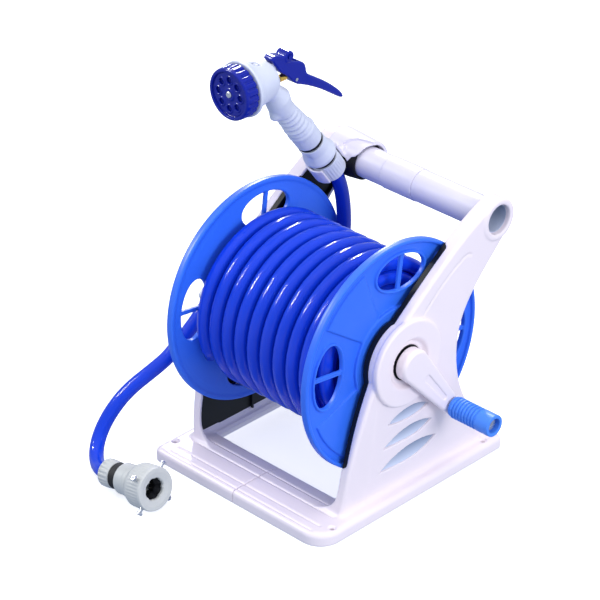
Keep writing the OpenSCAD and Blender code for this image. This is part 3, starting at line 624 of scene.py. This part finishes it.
def half_field(left):
    """Distance to one moulded half of the base with its side frame; x is positive outwards."""
    edge = outline_distance(panel_outline())
    plan = outline_distance(base_outline(LEFT_CORNER_R if left else RIGHT_CORNER_R))
    vents = [outline_distance(vent_outline(k)) for k in range(len(VENTS))]
    board_grooves = (-147.5, -135, -112, -98, 115, 129, 146)
    groove = np.array([(14, 239), (39, 261), (60, 275.5), (78.5, 285.5), (86, 287), (91, 284)])
    inner = (-SEAM_X if left else SEAM_X) + 0.4

    def groove_distance(y, z):
        best = np.full(np.broadcast(y, z).shape, 1e9)
        for a, b in zip(groove[:-1], groove[1:]):
            e = b - a
            t = np.clip(((y - a[0]) * e[0] + (z - a[1]) * e[1]) / (e @ e), 0, 1)
            best = np.minimum(best, np.hypot(y - a[0] - t * e[0], z - a[1] - t * e[1]))
        return best

    def top(x, y):
        """Height of the base: ridges on the boards, and a strip that falls towards the opening."""
        near = rises(117 - x, 0.8)
        height = BASE_TOP
        for g in board_grooves:
            height = height - near * 1.7 * np.exp(-((y - g) / 1.1) ** 2)
        fall = np.clip((y + 97.5) / (FRONT_BOARD_REAR + 97.5), 0, 1) * (y < 0)
        back_fall = np.clip((114.5 - y) / (114.5 - REAR_BOARD_FRONT), 0, 1) * (y > 0)
        return height - near * 4.5 * (fall + back_fall)

    def field(x, y, z):
        d2 = edge(y, z)
        face = face_x(y, z)
        inward = rim_x(y, z)
        shell = smooth_max(slab(d2, between(x, inward - 12, face), 4.5), inward - x, 1.0)
        hollow = slab(d2 + 4, between(x, 40, face - 4), 2.5)
        panel = smooth_max(shell, -hollow, 1.0)
        panel = smooth_max(panel, BASE_TOP - 8 - z, 1)
        hub = np.hypot(y - AXLE[1], z - AXLE[2])
        sleeve = slab(hub - 27, between(x, 121, 136), 1)
        boss = slab(hub - 53.5, between(x, 129.5, 138), 2.6)
        panel = smooth_min(np.minimum(panel, sleeve), boss, 1.6)
        dish = np.maximum(hub - 27 - (x - 133) * 0.9, 133 - x)
        panel = smooth_max(panel, -dish, 1.6)
        panel = smooth_max(panel, -(hub - 21.6), 0.8)
        apex = np.hypot(y - HANDLE[1], z - HANDLE[2])
        collar = slab(apex - 25.5, between(x, 126, 135.4), 2.2)
        panel = smooth_min(panel, collar, 1.5)
        panel = smooth_max(panel, -(apex - 18.2), 1.6)
        for k, vent in enumerate(vents):
            lens = vent(y, z)
            floor, backing = vent_floor(k, y, z, face)
            panel = smooth_min(panel, slab(lens - 5, between(x, backing, face - 2), 2), 1)
            panel = smooth_max(panel, -slab(lens, between(x, floor, face + 30), 0.8), 0.8)
        panel = smooth_max(panel, -np.maximum(groove_distance(y, z) - 1.3, face - 0.9 - x), 0.8)
        outside = plan(x, y)
        base = slab(outside, between(z, -30, top(x, y)), 6.5)
        ledge = np.maximum(np.maximum(x - 112.5, y - REAR_BOARD_FRONT), FRONT_BOARD_REAR - y)
        base = smooth_max(base, -ledge, 1.5)
        half = smooth_min(base, panel, 7)
        for sy in (-SCREW_Y, SCREW_Y):
            hole = np.hypot(x - SCREW_X, y - sy)
            sink = 2.6 + np.clip(z - BASE_TOP + 2.4, 0, 3)
            half = smooth_max(half, -np.maximum(np.maximum(hole - sink, 2 - z), z - BASE_TOP - 5), 0.5)
        return smooth_max(smooth_max(half, 0.3 - z, 0.6), inner - x, 0.3)
    return field


def vent_shade_plate(k):
    """A plate at the bottom of one vent, painted with the shade under the vent's upper edge."""
    outline = outline_distance(vent_outline(k))

    def field(x, y, z):
        floor = vent_floor(k, y, z, face_x(y, z))[0]
        return slab(outline(y, z) - 0.6, between(x, floor - 1, floor + 0.9), 0.4)
    y0, z0, y1, z1, _, zl, _, zu = VENTS[k]
    return skin(field, (116, y0 - 1, zl - 2), (134, y1 + 1, zu + 2), 1.2)


def add_halves():
    # plates painted with shade, laid on the vents' floors
    for k in range(len(VENTS)):
        shape = vent_shade_plate(k)
        make_piece(f"right_vent_shade_{k + 1}", *shape, "frame", VENT_SHADE, "white_shell")
        make_piece(f"left_vent_shade_{k + 1}", *mirrored(shape), "frame", VENT_SHADE, "white_shell")
    for side, left in (("right", False), ("left", True)):
        lowest = (-SEAM_X if left else SEAM_X, BASE_FRONT, 0)
        shape = skin(half_field(left), lowest, (138, HANDLE[1] + 27, 338), 1.4)
        make_piece(side + "_half", *(mirrored(shape) if left else shape), "frame", WHITE, "white_shell",
                   [side + "_frame", "front_board_" + side, "rear_board_" + side])


# ---- handle, and the holder on it ----
def add_handle():
    for name, outer in (("handle_left", 0), ("handle_right", 0), ("handle_sleeve", 0.7)):
        x0, x1 = low(name)[0], high(name)[0]
        r = HANDLE_R + outer
        profile = soft([(r - 2.6, 0), (r, 0), (r, x1 - x0), (r - 2.6, x1 - x0)], 0.8)
        shape = placed(lathe(profile, 96), (x0, HANDLE[1], HANDLE[2]), (1, 0, 0))
        make_piece(name + "_look", *shape, "frame", SHADED_HANDLE_WHITE, "handle_white", [name])


def add_socket_and_shade_tube():
    """The black socket under the hood, and a thin tube painted with shade inside the handle's open end."""
    socket = soft([(20.4, 0), (25, 0), (25, 26), (23, 43), (20.4, 43)], 0.8)
    x0 = low("holder_socket")[0]
    shape = placed(lathe(socket, 96), (x0, HANDLE[1], HANDLE[2]), (1, 0, 0))
    make_piece("holder_socket_look", *shape, "frame", RUBBER, "black_web", ["holder_socket"])
    # painted shade: a tube that darkens the inside of the handle's open end towards the top
    shade_tube = soft([(16.3, 0), (16.9, 0), (16.9, 68), (16.3, 68)], 0.2)
    shape = placed(lathe(shade_tube, 96), (62, HANDLE[1], HANDLE[2]), (1, 0, 0))
    make_piece("handle_shade_tube", *shape, "frame", VENT_SHADE, "handle_white")


def on_grip(shape, s):
    """Places a shape drawn round +Z on the nozzle grip's axis, s below its ring."""
    return placed(shape, RING + s * GRIP_DIR, GRIP_DIR, (1, 0, 0))


def grip_place(x, y, z):
    """Distance along the grip's axis, and the offsets across it, of a point."""
    dx, dy, dz = x - RING[0], y - RING[1], z - RING[2]
    s = dy * GRIP_DIR[1] + dz * GRIP_DIR[2]
    rear = dy * -GRIP_DIR[2] + dz * GRIP_DIR[1]
    return s, dx, rear


def holder_field(x, y, z):
    """White hood round the handle's left end, and the open ring that grips the hose nut."""
    ry, rz = y - HANDLE[1], z - HANDLE[2]
    r = np.hypot(ry, rz)
    along = (x - low("nozzle_holder")[0]) / 54.0
    radius = 30.6 - 3.6 * np.clip(along, 0, 1)
    hood = slab(np.abs(r - radius + 2.2) - 2.2, between(x, low("nozzle_holder")[0] + 0.3, -63), 1.0)
    # a zigzag edge at the lower front, and a recess under an arched lip
    turn = np.degrees(np.arctan2(rz, -ry))          # 0 at the front, 90 at the top
    edge = np.interp(x, [-110, -97.5, -80.5, -77, -72.5, -68.5, -66.5, -63],
                     [30, 38, 14, 28, 33, 46, 72, 100])
    lip = np.interp(x, [-98, -94, -89.5, -83.5, -70, -63], [38, 50, 67, 80, 92, 96])
    reach = np.radians(1) * r
    hood = smooth_max(hood, np.where((turn > -100) & (turn < 100), edge - turn, -20) * reach, 0.8)
    recess = np.maximum((turn - lip) * reach, radius - 2.9 - r)
    hood = smooth_max(hood, -recess, 0.5)
    s, across, rear = grip_place(x, y, z)
    ring_r = np.hypot(across, rear)
    ring = slab(np.abs(ring_r - 20.7) - 1.75, between(s, 59.5, 84.5), 1.2)
    phi = np.degrees(np.arctan2(rear, across))      # 0 towards the crank, 90 at the rear
    mouth = np.minimum(phi + 52, 72 - phi) * np.radians(1) * ring_r
    ring = smooth_max(ring, mouth, 1.0)
    arm = slab(np.maximum(between(s, 60, 84), between(across, -22, 4)), between(rear, 17, 30), 2)
    arm = np.maximum(arm, 19 - ring_r)
    body = smooth_min(hood, ring, 3)
    body = smooth_min(body, np.maximum(arm, r - 29), 2.5)
    clear = np.minimum(ring_r - 18.9, r - 19.8)
    return smooth_max(body, -clear, 0.8)


def add_holder():
    shape = skin(holder_field, low("nozzle_holder") - [0, 8, 4], high("nozzle_holder") + 1, 0.9)
    make_piece("holder_look", *shape, "frame", SHADED_HANDLE_WHITE, "white_shell", ["nozzle_holder"])


# ---- drum ----
WINDOWS = 4
# of each oval: its centre's distance from the axle, its half width and half depth, and its turn
WINDOW_R, WINDOW_A, WINDOW_B, WINDOW_TURN = 102.5, 39.0, 22.0, 82.5


def flange_field(x, y, z):
    """Right flange: a disc with rimmed oval windows, crossed by bars, and stepped wedges between them."""
    dy, dz = y - AXLE[1], z - AXLE[2]
    r = np.hypot(dy, dz)
    inner = FLANGE_INNER
    disc = slab(r - (FLANGE_R - 1), between(x, inner, inner + 3.2), 0.8)
    lip = slab(np.abs(r - (FLANGE_R - 2.4)) - 2.3, between(x, inner - 1, FLANGE_OUT), 1.6)
    body = smooth_min(disc, lip, 3)
    turn = np.degrees(np.arctan2(dz, dy)) - WINDOW_TURN
    sector = 360 / WINDOWS
    near = (turn + sector / 2) % sector - sector / 2
    u, v = r * np.sin(np.radians(near)), r * np.cos(np.radians(near)) - WINDOW_R
    size = np.hypot(u / WINDOW_A, v / WINDOW_B)
    slope = np.hypot(u / WINDOW_A ** 2, v / WINDOW_B ** 2) / np.maximum(size, 0.2)
    oval = (size - 1) / np.maximum(slope, 1e-3)
    rim = slab(np.abs(oval - 1.2) - 1.5, between(x, inner, inner + 6.2), 1.1)
    bar = slab(np.maximum(np.abs(u) - 2.6, oval - 1), between(x, inner + 0.4, inner + 4.8), 0.9)
    bar = np.maximum(bar, -np.maximum(np.abs(u) - 0.7, inner + 3.9 - x))
    # raised wedge between two windows, with its inner step round the hub
    other = (turn % sector) - sector / 2
    wide = np.abs(r * np.sin(np.radians(other))) - (13 + (r - 47) * 0.30)
    wedge = slab(np.maximum(np.maximum(wide, r - 127), 60 - r), between(x, inner, inner + 5.6), 0.9)
    hub = slab(r - 60, between(x, inner, inner + 7.4), 1.2)
    nave = slab(r - 20, between(x, inner, FLANGE_OUT), 1.0)
    body = smooth_min(smooth_min(smooth_min(body, wedge, 0.8), hub, 1.2), nave, 2)
    body = smooth_max(body, -np.maximum(oval, np.abs(x - inner) - 20), 0.8)
    body = smooth_min(smooth_min(body, rim, 1.0), bar, 0.8)
    return smooth_max(body, 9.05 - r, 0.3)


def add_flanges():
    r = FLANGE_R
    lowest = (FLANGE_INNER - 1.2, AXLE[1] - r, AXLE[2] - r)
    shape = skin(flange_field, lowest, (FLANGE_OUT, AXLE[1] + r, AXLE[2] + r), 1.3)
    make_piece("right_flange_look", *shape, "drum", REEL_BLUE, "reel_blue", ["right_flange"])
    make_piece("left_flange_look", *mirrored(shape), "drum", REEL_BLUE, "reel_blue", ["left_flange"])


# ---- crank ----
def crank_field(x, y, z):
    """Drop-shaped arm with a rounded back and a shallow groove, on a round hub."""
    start, end = AXLE[1:], CRANK_PIN[1:]
    line = end - start
    reach = np.linalg.norm(line)
    u = ((y - start[0]) * line[0] + (z - start[1]) * line[1]) / reach
    v = ((y - start[0]) * -line[1] + (z - start[1]) * line[0]) / reach
    t = np.clip(u / reach, 0, 1)
    flat = np.hypot(u - t * reach, v) - (20 - 8.5 * t)
    top = 149.4 - 2.0 * t
    arm = slab(flat, between(x, 140 + 0.8 * (1 - t), top), 3.2)
    hub = slab(np.hypot(u, v) - 20, between(x, 134.4, 146), 1.2)
    body = smooth_min(arm, hub, 2)
    tg = np.clip((u - 30) / 50, 0, 1)
    groove = np.hypot(u - 30 - tg * 50, v) - (4.6 - 1.8 * tg)
    body = smooth_max(body, -np.maximum(groove, top - 1.6 - x), 1.2)
    return smooth_max(body, -np.maximum(np.hypot(u, v) - 9.1, x - 139.4), 0.3)


def add_crank():
    shape = skin(crank_field, low("crank_arm") - 0.5, high("crank_arm") + 1, 0.9)
    make_piece("crank_arm_look", *shape, "drum", WHITE, "white_shell", ["crank_arm", "crank_screw"])
    x0, x1 = low("crank_grip")[0], high("crank_grip")[0]
    r = (high("crank_grip") - low("crank_grip"))[2] / 2
    profile = [(4.2, 0), (r - 2, 0), (r - 1, 1.2)]
    for i in range(8):
        s = 3 + 4.6 * i
        profile += [(r - 2.0, s), (r - 0.2, s + 0.9), (r - 0.2, s + 2.9), (r - 2.0, s + 3.7)]
    profile += [(r - 0.1, 41.5), (r - 0.1, x1 - x0), (9.2, x1 - x0), (8.8, x1 - x0 - 9), (4.2, x1 - x0 - 9)]

    def flats(a, radius, h):
        return np.where((h > 2.5) & (h < 40) & (radius > r - 3), -0.5 * np.maximum(np.cos(4 * a), 0) ** 8, 0)
    shape = placed(lathe(soft(profile, 0.8), 96, ribs=flats), (x0, CRANK_PIN[1], CRANK_PIN[2]), (1, 0, 0))
    make_piece("crank_grip_look", *shape, "grip", GRIP_BLUE, "grip_blue", ["crank_grip"])


# ---- spray nozzle ----
def nozzle_field(x, y, z):
    """White body: a bell behind the dial, the round head, and the bent grip with ripples for the fingers."""
    dx, dz = x - NOZZLE_X, z - HEAD[2]
    r = np.hypot(dx, dz)
    width = np.interp(y, [-50, -46, -44.5, -38, -30, -20, -12, -7, 0],
                      [33.0, 33.2, 31.4, 28.4, 26.4, 24.6, 22.6, 21, 19])
    head = smooth_max((r - width) * 0.85, y + 3.5, 9)
    head = smooth_max(head, -49.4 - y, 1.2)
    s, across, rear = grip_place(x, y, z)
    stations = [-92, -75, -64, -56, -50, -38, -23, -9, -3, -1.2, 1.5, 3.2, 22]
    radius = np.interp(s, stations, [9, 12.5, 15.5, 15, 14.3, 13.4, 14.2, 15.6, 16.2, 17.2, 17.2, 16.5, 16.4])
    offset = np.interp(s, [-92, -75, -64, -56, -50, -38, -23, -9, 0],
                       [-3, 0.5, 0.5, -1.5, -2.6, -1.4, -0.7, -0.6, 0])
    bent = rear - offset
    around = np.hypot(across, bent)
    facing = np.clip(-bent / np.maximum(around, 1), 0, 1) ** 1.5
    here = np.clip((s + 47) / 6, 0, 1) * np.clip((-5 - s) / 5, 0, 1)
    ripple = (0.5 + 0.9 * facing) * np.sin(2 * np.pi * (s + 47) / 8.0) * here * (bent < 9)
    grip = smooth_max((around - radius - ripple) * 0.9, s - 22, 0.8)
    knuckle = np.sqrt(across ** 2 + (bent + 12) ** 2 + (s + 50) ** 2) - 6.5
    grip = np.maximum(smooth_min(grip, knuckle, 4), -92 - s)
    rings = 0.25 * np.sin(2 * np.pi * s / 2.2) * (s > 5) * (s < 19) * (bent < 2)
    grip = grip + rings
    body = smooth_min(head, grip, 5)
    spout = slab(np.hypot(dx, z - middle("valve_stem")[2]) - 6.5, between(y, -12, 7), 1.2)
    reach = np.clip((y + 10) / 30, 0, 1)
    lug = np.maximum(np.hypot(y + 10 - 30 * reach, z - 474 - 3 * reach) - 4, np.abs(dx) - 4)
    body = smooth_min(smooth_min(body, spout, 2), lug, 2)
    window = slab(np.maximum(np.abs(dx - 2.5) - 5.0, np.abs(y + 30) - 4.6), between(z, 484.4, 520), 0.6)
    tab = np.maximum(np.maximum(np.abs(dx - 2.5) - 3.4, np.abs(y + 30) - 3.2), z - 486.6 - (y + 30) * 0.35)
    body = smooth_max(body, -np.maximum(window, -tab), 0.7)
    return smooth_max(body, 6.3 - np.where(s > -20, around, 99), 0.3)


def add_nozzle_body():
    lowest = (NOZZLE_X - 35, -50, low("nozzle_body")[2] - 1)
    shape = skin(nozzle_field, lowest, (NOZZLE_X + 35, 76, 497), 0.85)
    make_piece("nozzle_body_look", *shape, "nozzle", SHADE_WHITE, "nozzle_white", ["nozzle_body"])


def dial_field(x, y, z):
    """Navy spray dial: a scalloped rim, and a recessed face with a ring of round jets."""
    dx, dz = x - NOZZLE_X, z - HEAD[2]
    r, a = np.hypot(dx, dz), np.arctan2(dz, dx)
    front, back = -69.0, -50.2
    scallop = (1.9 * np.tanh(2.2 * (np.cos(22 * a) + 0.55)) - 0.9) * np.clip((y - front - 2.5) / 3, 0, 1)
    rim = slab((r - 30.8 - 0.5 * scallop) * 0.9, between(y, front, back), 2.0)
    rim = smooth_max(rim, -slab(r - 26.6, between(y, front - 10, front + 3.4), 0.8), 0.8)
    face = slab(r - 26, between(y, front + 2.2, front + 6), 0.8)
    nave = slab(r - 7.5, between(y, front + 0.8, front + 6), 1.2)
    body = smooth_min(smooth_min(rim, face, 0.6), nave, 1.0)
    step = 2 * np.pi / 8
    near = (a + step / 2) % step - step / 2
    jet = np.hypot(r * np.cos(near) - 17.2, r * np.sin(near))
    collar = slab(np.abs(jet - 4.6) - 0.9, between(y, front + 1.1, front + 6), 0.6)
    body = smooth_min(body, collar, 0.6)
    body = smooth_max(body, -slab(jet - 3.7, between(y, front - 10, front + 5.2), 0.4), 0.5)
    return smooth_max(body, -slab(r - 4.4, between(y, front - 10, front + 2.2), 0.3), 0.4)


def add_dial():
    shape = skin(dial_field, (NOZZLE_X - 33, -70, HEAD[2] - 33), (NOZZLE_X + 33, -49, HEAD[2] + 33), 0.75)
    make_piece("dial_look", *shape, "dial", NAVY, "nozzle_navy", ["dial", "dial_face"])
    head = soft([(0.2, 0), (3.2, 0), (4.1, 0.9), (4.1, 2.6), (0.2, 2.6)], 0.5, closed=False)
    shape = placed(lathe(head, 48, closed=False), (NOZZLE_X, -69.3, HEAD[2]), (0, 1, 0))
    make_piece("dial_screw_look", *shape, "dial", STEEL, "steel", ["dial_screw"])


LEVER_OUTLINE = joined_curves(
    bez((-7, 485), (-5.5, 492), (3, 487), (15, 484.5), 6),            # ear in front of the knob
    bez((24, 476), (32, 469.5), (46, 471.5), (47.5, 459), 8),         # hump behind it
    bez((47.5, 459), (48, 452), (50.5, 449.5), (55, 446.8), 5),
    bez((55, 446.8), (69, 438.5), (84, 429), (100, 414.5), 6),        # blade's back
    bez((100, 414.5), (112, 404), (112.5, 396.5), (103, 402.6), 8),   # tip
    bez((103, 402.6), (82, 417), (62, 431.5), (40, 440), 6),          # where the fingers pull
    bez((40, 440), (24, 445), (22, 457.5), (11, 463), 8),             # round the valve stem
    bez((11, 463), (4, 468), (1, 474), (-7, 485), 6))                 # over the head


def lever_field():
    outline = outline_distance(LEVER_OUTLINE)
    pivot = middle("lever_pivot")

    def field(x, y, z):
        dx = np.abs(x - NOZZLE_X)
        flat = outline(y, z)
        half = np.interp(y, [0, 46, 56, 112], [7.5, 7.5, 8.4, 6.6])
        blade = slab(flat, dx - half, 2.2)
        knob = slab(np.hypot(y - pivot[1], z - pivot[2]) - 6.9, dx - 8.2, 1.4)
        knob = smooth_max(knob, -np.maximum(np.hypot(y - pivot[1], z - pivot[2]) - 3.4, 7.4 - dx), 0.4)
        body = smooth_min(blade, knob, 1.5)
        pocket = slab(np.maximum(between(y, 27, 43), 461 - z), dx - 5.2, 1.2)
        body = smooth_max(body, -pocket, 0.8)
        gutter = slab(np.maximum(flat + 3.4, 62 - y), dx - 3.6, 1.0)
        return smooth_max(body, -np.maximum(gutter, (z + 0.78 * y) - 482.5), 0.8)
    return field


def add_lever():
    shape = skin(lever_field(), (NOZZLE_X - 10, -8, 398), (NOZZLE_X + 10, 111.5, 490), 0.75)
    make_piece("lever_look", *shape, "lever", NAVY, "nozzle_navy", ["lever"])
    stem = soft([(0.2, -22), (3, -22), (3, 9.4), (4.3, 10.4), (4.3, 20), (3, 21), (3, 28.8), (0.2, 28.8)],
                0.5, closed=False)
    shape = placed(lathe(stem, 48, closed=False), (NOZZLE_X, 0, middle("valve_stem")[2]), (0, 1, 0))
    make_piece("valve_stem_look", *shape, "stem", BRASS, "brass", ["valve_stem"])


# ---- ribs of the turned pieces ----
def ribs(count, depth, inside, start, end):
    """Rounded ribs on the part of a profile beyond one radius and between two heights."""
    def rib(a, r, h):
        return np.where((r > inside) & (h > start) & (h < end), depth * np.tanh(3 * np.cos(count * a)), 0)
    return rib


def eight_flats(a):
    """0 at the middle of each side of an octagon and 1 at its corners."""
    return np.abs(((a + 0.2) % (math.pi / 4)) / (math.pi / 8) - 1) ** 2


# ---- hose connector on the nozzle ----
def add_connector():
    def dents(a, r, h):
        bowl = np.exp(-((np.abs(np.cos(a)) - 1) / 0.10) ** 2) * np.exp(-((h - 12) / 6.5) ** 2)
        fine = 0.15 * np.cos(60 * a) * (h > 23.2) * (h < 26.4)
        return (-2.0 * bowl + fine) * (r > 15.5)
    collar = [(13.7, 0), (16.9, 0), (17.1, 2), (17.3, 12), (19.0, 19), (20.4, 23), (20.4, 27), (18.4, 27),
              (18.2, 20.5), (13.7, 18)]
    make_piece("release_collar_look", *on_grip(lathe(soft(collar, 1.0), 160, ribs=dents), 27), "collar",
               SHADE_WHITE, "nozzle_white", ["release_collar"])
    ring = [(8.7, 0), (15.2, 0), (16.5, 1.2), (16.5, 5.8), (15.4, 7), (8.7, 7)]
    make_piece("nut_ring_look", *on_grip(lathe(soft(ring, 0.5), 96), 55), "nozzle", RUBBER, "black_rubber",
               ["nut_ring"])
    nut = [(8.8, 0), (17.2, 0), (17.7, 0.8), (17.7, 12), (17.7, 25.4), (16.6, 26.8), (11, 26.8), (8.8, 25)]
    shape = lathe(soft(nut, 0.6), 360, ribs=ribs(30, 0.45, 16.5, 1.5, 24.5))
    make_piece("hose_nut_look", *on_grip(shape, 62.1), "nozzle", SHADE_WHITE, "nozzle_white", ["hose_nut"])


# ---- inlet and its tap connector ----
def elbow_field(x, y, z):
    """Barrel round the axle's end, its flange on the frame, and the branch that the hose leaves by."""
    r = np.hypot(y - AXLE[1], z - AXLE[2])
    barrel = slab(r - 14, between(x, -166, -140), 5)
    flange = slab(r - 17, between(x, -149, -133), 1.5)
    along = (y - AXLE[1]) * ELBOW_DIR[1] + (z - AXLE[2]) * ELBOW_DIR[2]
    side = (y - AXLE[1]) * -ELBOW_DIR[2] + (z - AXLE[2]) * ELBOW_DIR[1]
    branch = slab(np.hypot(x - ELBOW_X, side) - 10.5, between(along, 0, 24), 1.5)
    body = smooth_min(smooth_min(barrel, branch, 6), flange, 2.5)
    return smooth_max(body, -np.maximum(r - 9.2, -147 - x), 0.4)


def add_inlet():
    shape = skin(elbow_field, (-167, AXLE[1] - 30, AXLE[2] - 28), (-132, AXLE[1] + 18, AXLE[2] + 18), 0.9)
    make_piece("inlet_elbow_look", *shape, "frame", FITTING, "fitting_white", ["inlet_elbow", "inlet_oring"])
    nut = soft([(8.8, 0), (14.4, 0), (15.0, 1), (15.0, 12), (15.0, 20), (13, 22), (8.8, 22)], 0.7)
    start = np.array([ELBOW_X, AXLE[1], AXLE[2]]) + 20 * ELBOW_DIR
    shape = placed(lathe(nut, 240, ribs=ribs(20, 0.5, 14, 2, 20)), start, ELBOW_DIR)
    make_piece("inlet_nut_look", *shape, "frame", FITTING, "fitting_white", ["inlet_nut"])


def on_tap(shape, s):
    """Places a shape drawn round +Z on the tap connector's axis, s from the end of the hose."""
    return placed(shape, TAP_START + s * TAP_DIR, TAP_DIR)


def add_tap_connector():
    """The connector's seven pieces, which it returns."""
    pieces = []

    def add(name, shape, s, body, material, slot, replaced):
        pieces.append(make_piece(name, *on_tap(shape, s), body, material, slot, [replaced]))

    nut = soft([(8.8, 0), (15.6, 0), (16.3, 0.8), (16.3, 9), (16.3, 16.2), (15.6, 17), (8.8, 17)], 0.6)
    nut = lathe(nut, 240, ribs=ribs(20, 0.5, 15.4, 1.2, 15.5))
    add("tap_nut_look", nut, 0, "frame", TAP_GREY, "tap_grey", "tap_nut")
    ring = soft([(9, 17.1), (15.4, 17.1), (16, 18.2), (16, 28.6), (15.4, 29.5), (9, 29.5)], 0.5)
    add("tap_ring_look", lathe(ring, 96), 0, "frame", RUBBER, "black_rubber", "tap_ring")
    stem = soft([(9, 29.6), (13.4, 29.6), (13.4, 52), (9, 52)], 0.4)
    add("tap_stem_look", lathe(stem, 72), 0, "frame", TAP_GREY, "tap_grey", "tap_stem")
    collar = soft([(16.5, 0), (18.2, 0), (18.8, 1.5), (18.8, 13), (19.9, 15), (19.9, 20), (19.2, 21),
                   (14.1, 21), (14.1, 6), (16.5, 6)], 0.6)
    collar = lathe(collar, 288, ribs=ribs(36, 0.3, 17.5, 3, 12))
    add("tap_collar_look", collar, 30, "tap_collar", TAP_GREY, "tap_grey", "tap_collar")

    def cap_ribs(a, r, h):
        mouth = np.where((r < 16) & (h > 24.5), eight_flats(a), 0)
        return ribs(44, 0.4, 24, 9.5, 29)(a, r, h) - mouth
    cap = soft([(10.2, 0), (20.5, 0), (24, 3), (26.2, 7.5), (26.4, 9), (26.4, 20), (26.4, 29.5),
                (25.6, 31.8), (21, 31.8), (14.6, 30.2), (13.4, 28.6), (13.4, 25.5), (18.1, 24),
                (18.1, 10.2), (10.2, 10.2)], 0.9)
    add("tap_cap_look", lathe(cap, 396, ribs=cap_ribs), 52.1, "frame", TAP_GREY, "tap_grey", "tap_cap")

    def octagon(a, r, h):
        return np.where(r < 12, 2.2 * eight_flats(a), 0)
    rubber = soft([(8.2, 0), (17.9, 0), (17.9, 12), (15.5, 15.2), (11.5, 14), (8.2, 9)], 0.8)
    rubber = lathe(rubber, 128, ribs=octagon)
    add("tap_rubber_look", rubber, 62.2, "frame", RUBBER, "black_rubber", "tap_rubber")
    screw = soft([(0.2, 18.4), (1.9, 18.4), (1.9, 31), (3.5, 31), (3.5, 33), (2.8, 34), (0.9, 34),
                  (0.9, 32.9), (0.2, 32.9)], 0.35, closed=False)
    shapes = []
    for k in range(4):
        turn = math.radians(45 + 90 * k)
        shapes.append(placed(lathe(screw, 32, closed=False), (0, 0, 24), (math.cos(turn), math.sin(turn), 0)))
    add("tap_screws_look", joined(*shapes), 52.1, "frame", STEEL, "steel", "tap_screws")
    return pieces


# ---- looks of the CAD nodes that stay ----
NODE_LOOKS = {
    "left_web": BLACK, "right_web": BLACK, "left_bushing": BLACK, "right_bushing": BLACK,
    # the board screws take the darker steel, which paints their shade
    "board_plates": STEEL, "board_screws": SHADED_STEEL, "flange_screws": STEEL, "axle": STEEL,
    "crank_pin": STEEL, "valve_spring": STEEL, "link_pin": STEEL, "drum_core": REEL_BLUE,
    "core_outlet": FITTING, "core_nut": FITTING,
    "connector_core": FITTING, "grip_seal": RUBBER, "lever_pivot": NAVY}


def dress_nodes():
    for name, material in NODE_LOOKS.items():
        mesh = frame["nodes"][name].data
        mesh.materials.clear()
        mesh.materials.append(material)


# ---- studio ----
def area_light(name, place, target, size, power, color, gloss=False):
    """A light that is seen only in reflections if gloss is set, and only as diffuse light if not."""
    data = bpy.data.lights.new(name, "AREA")
    data.shape, data.size, data.size_y, data.energy, data.color = "RECTANGLE", size[0], size[1], power, color
    light = bpy.data.objects.new(name, data)
    bpy.context.scene.collection.objects.link(light)
    light.location = place
    light.visible_diffuse, light.visible_glossy = not gloss, gloss
    light.rotation_mode = "QUATERNION"
    light.rotation_quaternion = (Vector(target) - Vector(place)).to_track_quat("-Z", "Y")


def make_studio():
    world = bpy.data.worlds.new("studio")
    bpy.context.scene.world = world
    world.use_nodes = True
    tree = world.node_tree
    # soft dome: cool white overhead, a deeper blue below the horizon
    place = tree.nodes.new("ShaderNodeTexCoord")
    split = tree.nodes.new("ShaderNodeSeparateXYZ")
    ramp = tree.nodes.new("ShaderNodeValToRGB")
    level = tree.nodes.new("ShaderNodeMapRange")
    level.inputs["From Min"].default_value = -1
    tree.links.new(place.outputs["Generated"], split.inputs["Vector"])
    tree.links.new(split.outputs["Z"], level.inputs["Value"])
    tree.links.new(level.outputs["Result"], ramp.inputs["Fac"])
    tree.links.new(ramp.outputs["Color"], tree.nodes["Background"].inputs["Color"])
    for spot, color in ((0.0, (0.10, 0.17, 0.36, 1)), (0.45, (0.16, 0.25, 0.46, 1)),
                        (0.62, (0.42, 0.54, 0.80, 1)), (1.0, (0.66, 0.72, 0.84, 1))):
        stop = ramp.color_ramp.elements.new(spot) if 0 < spot < 1 else ramp.color_ramp.elements[int(spot)]
        stop.color = color
    centre = (0, 0, 0.2)
    area_light("key", (4.2, 0.1, 1.75), centre, (1.6, 1.6), 90, (1.0, 0.975, 0.99))
    area_light("top", (0.1, -0.5, 3.8), centre, (1.8, 1.2), 38, (1.0, 0.97, 0.985))
    area_light("fill", (-0.9, -3.4, 2.4), centre, (2.4, 1.6), 18, (0.97, 0.96, 1.0))
    area_light("streak_rear", (-1.9, 1.85, 1.85), centre, (0.10, 0.9), 95, (1, 1, 1), gloss=True)
    area_light("streak_front", (-1.9, -1.7, 1.95), centre, (0.10, 0.9), 90, (1, 1, 1), gloss=True)
    floor = bpy.data.materials.new("floor")
    floor.use_nodes = True
    shader = floor.node_tree.nodes["Principled BSDF"]
    shader.inputs["Base Color"].default_value = (0.9, 0.9, 0.9, 1)
    shader.inputs["Roughness"].default_value = 0.9
    shader.inputs["Emission Color"].default_value = (1, 1, 1, 1)
    shader.inputs["Emission Strength"].default_value = 0.62
    mesh = bpy.data.meshes.new("floor")
    reach = 6.0
    corners = [(-reach, -reach, 0), (reach, -reach, 0), (reach, reach, 0), (-reach, reach, 0)]
    mesh.from_pydata(corners, [], [(0, 1, 2, 3)])
    mesh.materials.append(floor)
    ground = bpy.data.objects.new("floor", mesh)
    bpy.context.scene.collection.objects.link(ground)
    ground.location.z = -0.0004
    ground.visible_diffuse = ground.visible_glossy = False
    bpy.context.scene.view_settings.view_transform = "Standard"


add_winding()
add_tail()
add_inlet_hose(add_tap_connector())
add_inlet()
add_halves()
add_handle()
add_socket_and_shade_tube()
add_holder()
add_flanges()
add_crank()
add_nozzle_body()
add_dial()
add_lever()
add_connector()
dress_nodes()
make_studio()
